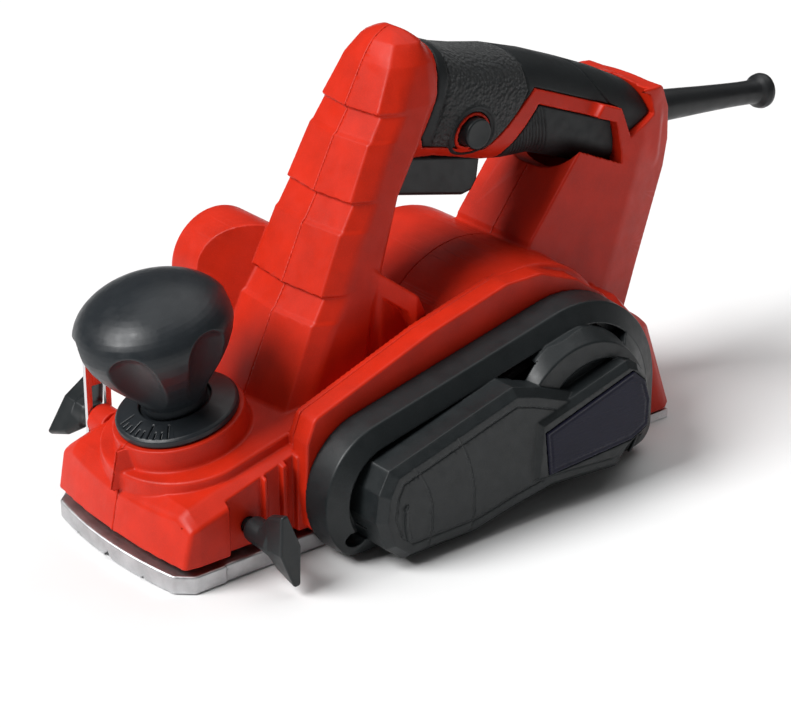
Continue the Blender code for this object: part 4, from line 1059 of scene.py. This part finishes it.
def make_finishes():
    return {
        "red": moulded("red_housing", RED, 0.42, wear=1.25, shine=0.2),
        "cover": moulded("black_cover", BLACK, 0.42, 0.6, 0.3, 0.15, 2.0),
        "black": moulded("black_plastic", BLACK, 0.38, 0.45, 0.15, 0.1, 1.7),
        "knob": moulded("knob_plastic", (0.013, 0.016, 0.019), 0.36, 0.5, 0.14, 0.1, 1.6),
        "soft": moulded("soft_smooth", SOFT, 0.55, 0.6, 0.22, 0.15, 1.6),
        "leather": leathery("soft_leather", SOFT, 1.5, 0.8),
        "sleeve": moulded("sleeve_rubber", (0.012, 0.013, 0.014), 0.4, 0.5, 0.12, 0.1, 1.6),
        "badge": gloss_plate("badge_plate"),
        "sole": metal("cast_sole", (0.60, 0.60, 0.61), 0.42, (1.0, 1.0, 1.0), 0.9, 0.35),
        "sole_ground": metal("ground_sole", (0.66, 0.66, 0.67), 0.28, (1.0, 0.04, 1.0), 0.8, 0.25),
        "drum": metal("turned_drum", (0.62, 0.62, 0.63), 0.32, (0.05, 1.0, 1.0), 0.6, 0.2),
        "steel": metal("bright_steel", (0.58, 0.58, 0.6), 0.28, (0.1, 1.0, 1.0), 0.5, 0.15),
        "pressed": metal("pressed_steel", (0.63, 0.63, 0.64), 0.3, (1.0, 1.0, 0.06), 0.5, 0.18),
        "dark_steel": metal("dark_steel", (0.14, 0.14, 0.15), 0.4, (0.1, 1.0, 1.0), 0.5, 0.2),
        "brass": metal("pressed_brass", (0.68, 0.47, 0.17), 0.34, (1.0, 1.0, 0.1), 0.6, 0.15),
        "copper": wound_copper("wound_copper"),
        "laminated": laminated_steel("laminated_core"),
        "commutator": metal("commutator_copper", (0.66, 0.3, 0.14), 0.3, (0.05, 1.0, 1.0), 0.4, 0.2),
        "carbon": moulded("pressed_carbon", (0.03, 0.03, 0.032), 0.5, 0.3, 0.3, 0.2, 1.8),
        "belt": rubber_belt("drive_rubber"),
    }


# ---- pieces

HOUSING_SCREW_NODES = tuple("housing_screw_%d" % k for k in range(1, 7))

# Pieces that keep their CAD mesh, by finish
CARRIED = {
    "sole_ground": ("rear_shoe",),
    "pressed": ("rabbet_depth_stop",),
    "drum": ("cutter_drum", "drum_pulley"),
    "steel": ("planer_blade_1", "planer_blade_2", "drum_shaft", "drum_bearing_belt_side",
              "drum_bearing_far_side", "motor_shaft", "motor_bearing_brush_side", "motor_bearing_belt_side",
              "shoe_guide_pin_left", "shoe_guide_pin_right", "depth_spindle", "cover_screw_1",
              "cover_screw_2", *HOUSING_SCREW_NODES),
    "dark_steel": ("clamp_bar_1", "clamp_bar_2"),
    "laminated": ("stator_core", "armature_core"),
    "copper": ("field_winding_brush_side", "field_winding_fan_side"),
    "commutator": ("commutator",),
    "black": ("fan", "motor_pulley", "switch_body", "cord_clamp"),
    "brass": ("brush_holder_upper", "brush_holder_lower"),
    "carbon": ("carbon_brush_upper", "carbon_brush_lower"),
    "belt": ("drive_belt",),
}

# Remade pieces: CAD node, field, body, record slot, finish, low corner, high corner, step, share kept
REMADE = (
    ("housing_left", housing_left, "machine", "housing", "red", (0, -189, 4), (54, 105, 198), 0.9, 0.30),
    ("housing_right", housing_right, "machine", "housing", "red", (-62, -189, 4), (0, 105, 198), 0.9, 0.30),
    ("handle_grip", handle_grip, "machine", "grip", "soft", (-23, -46, 126), (23, 90, 196), 0.6, 0.4),
    ("lower_grip_pad", lower_grip_pad, "machine", "grip", "soft", (-23, 3, 102), (23, 72, 158), 0.5, 0.5),
    ("depth_knob", depth_knob, "depth_control", "black_plastic", "knob", (-34, -206, 54), (34, -126, 124),
     0.7, 0.5),
    ("scale_ring", scale_ring, "depth_control", "black_plastic", "knob", (-27, -178, 47), (27, -124, 68),
     0.3, 0.6),
    ("belt_cover", belt_cover, "machine", "black_plastic", "cover", (53, -128, 2), (88, 56, 85), 0.6, 0.35),
    ("cover_badge", cover_badge, "machine", "badge", "badge", (85, -29, 18), (88, 35, 57), 0.35, 0.3),
    ("front_shoe", front_shoe, "front_sole", "sole", "sole", (-49, -189, -1), (49, -105, 25), 0.6, 0.35),
    ("guide_clamp_screw", guide_clamp_screw, "guide_clamp", "black_plastic", "black", (39, -168, 3),
     (75, -130, 39), 0.5, 0.6),
    ("depth_stop_screw", depth_stop_screw, "stop_clamp", "black_plastic", "black", (-75, -175, 15),
     (-44, -138, 53), 0.5, 0.6),
    ("lock_off_button", lock_button, "lock_off", "black_plastic", "black", (-26, -20, 143), (26, -6, 157),
     0.5, 0.6),
    ("trigger", trigger, "trigger", "black_plastic", "black", (-10, -56, 116), (10, 3, 146), 0.6, 0.5),
    ("cord_sleeve", cord_sleeve, "machine", "grip", "sleeve", (-9, 90, 112), (9, 190, 141), 0.5, 0.5),
)


def carried_over(finishes):
    """Give every CAD node that stays its own procedural material."""
    for finish, nodes in CARRIED.items():
        for node in nodes:
            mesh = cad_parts[node].data
            mesh.materials.clear()
            mesh.materials.append(finishes[finish])


def remake(finishes):
    """Fine meshes that stand for the visible CAD nodes."""
    made = {}
    for node, field, body, slot, finish, low, high, step, keep in REMADE:
        piece = fine_mesh(node + "_fine", field, low, high, step, finishes[finish], keep)
        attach(piece, body)
        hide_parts(node)
        made[node] = piece
    return made


def depth_spring(finish):
    """Compression spring round the shoe's boss: four turns of round wire."""
    sides, steps, turns = 12, 192, 4.0
    t = np.linspace(0.0, 1.0, steps + 1)[:, None]
    lift = 9.6 + 20.4 * np.interp(t, (0.0, 0.12, 0.88, 1.0), (0.0, 0.05, 0.95, 1.0))
    turn = 2.0 * math.pi * turns * t
    around = 2.0 * math.pi * np.arange(sides)[None, :] / sides
    out = 14.0 + 0.9 * np.cos(around)
    places = np.stack([out * np.cos(turn), -142.0 + out * np.sin(turn), lift + 0.9 * np.sin(around)], axis=2)
    near = np.arange(sides)
    far = (near + 1) % sides
    rows = np.arange(steps)[:, None] * sides
    quads = np.stack([rows + near, rows + far, rows + sides + far, rows + sides + near], axis=2)
    faces = quads.reshape(-1, 4).tolist() + [near[::-1].tolist(), (near + steps * sides).tolist()]
    mesh = bpy.data.meshes.new("depth_spring_fine")
    mesh.from_pydata((places.reshape(-1, 3) * MM).tolist(), [], faces)
    mesh.shade_smooth()
    piece = new_object("depth_spring_fine", mesh, finish)
    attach(piece, "machine")
    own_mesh(piece)
    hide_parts("depth_spring")


def texture_grip(piece, leather):
    """Leather grain between the engraved front band and the rear arc."""
    mesh = piece.data
    mesh.materials.append(leather)
    centres = np.empty(len(mesh.polygons) * 3, dtype=np.float32)
    mesh.polygons.foreach_get("center", centres)
    y, z = centres.reshape(-1, 3)[:, 1:].T / MM
    front, rear = (np.interp(z, [p[1] for p in line[::-1]], [p[0] for p in line[::-1]])
                   for line in (GRIP_FRONT_LINE, GRIP_REAR_LINE))
    grained = (y > front) & (y < rear) & (round_bar(y, z, LOCK_BUTTON, 11.6) > 0.0)
    mesh.polygons.foreach_set("material_index", grained.astype(np.int32))
    mesh.update()


# ---- stage

def camera():
    """Camera at the front belt-side quarter, looking down."""
    data = bpy.data.cameras.new("camera")
    data.sensor_width = 36.0
    data.lens = CAMERA_LENS
    data.clip_start = 0.05
    obj = bpy.data.objects.new("camera", data)
    bpy.context.scene.collection.objects.link(obj)
    turn, lift = math.radians(CAMERA_TURN), math.radians(CAMERA_LIFT)
    back = Vector((math.sin(turn) * math.cos(lift), -math.cos(turn) * math.cos(lift), math.sin(lift)))
    obj.location = Vector(CAMERA_TARGET) + back * CAMERA_DISTANCE
    obj.rotation_euler = back.to_track_quat('Z', 'Y').to_euler()
    bpy.context.scene.camera = obj


def soft_light(name, place, strength, spread):
    """Distant lamp of a given angular size, shining from place towards the machine."""
    data = bpy.data.lights.new(name, 'SUN')
    data.energy = strength
    data.angle = math.radians(spread)
    obj = bpy.data.objects.new(name, data)
    bpy.context.scene.collection.objects.link(obj)
    obj.location = place
    obj.rotation_euler = Vector(place).to_track_quat('Z', 'Y').to_euler()


def stage():
    """Pale floor, dim surroundings and two soft lamps, one from the front and one from above."""
    n = Nodes("pale_floor", (0.86, 0.86, 0.86), 0.7)
    n.set("Base Color", n.blend(n.noise(60.0, 2.0), (0.84, 0.84, 0.84), (0.88, 0.88, 0.88)))
    mesh = bpy.data.meshes.new("floor")
    mesh.from_pydata([(-6, -6, 0), (6, -6, 0), (6, 6, 0), (-6, 6, 0)], [], [(0, 1, 2, 3)])
    floor = new_object("floor", mesh, n.material)
    floor.location.z = -0.0002
    world = bpy.data.worlds.new("studio")
    bpy.context.scene.world = world
    world.use_nodes = True
    world.node_tree.nodes["Background"].inputs["Color"].default_value = (1.0, 1.0, 1.0, 1.0)
    world.node_tree.nodes["Background"].inputs["Strength"].default_value = WORLD_LIGHT
    for lamp in LAMPS:
        soft_light(*lamp)
    bpy.context.scene.view_settings.view_transform = 'Standard'


def main():
    finishes = make_finishes()
    carried_over(finishes)
    made = remake(finishes)
    texture_grip(made["handle_grip"], finishes["leather"])
    depth_spring(finishes["steel"])
    camera()
    stage()


main()
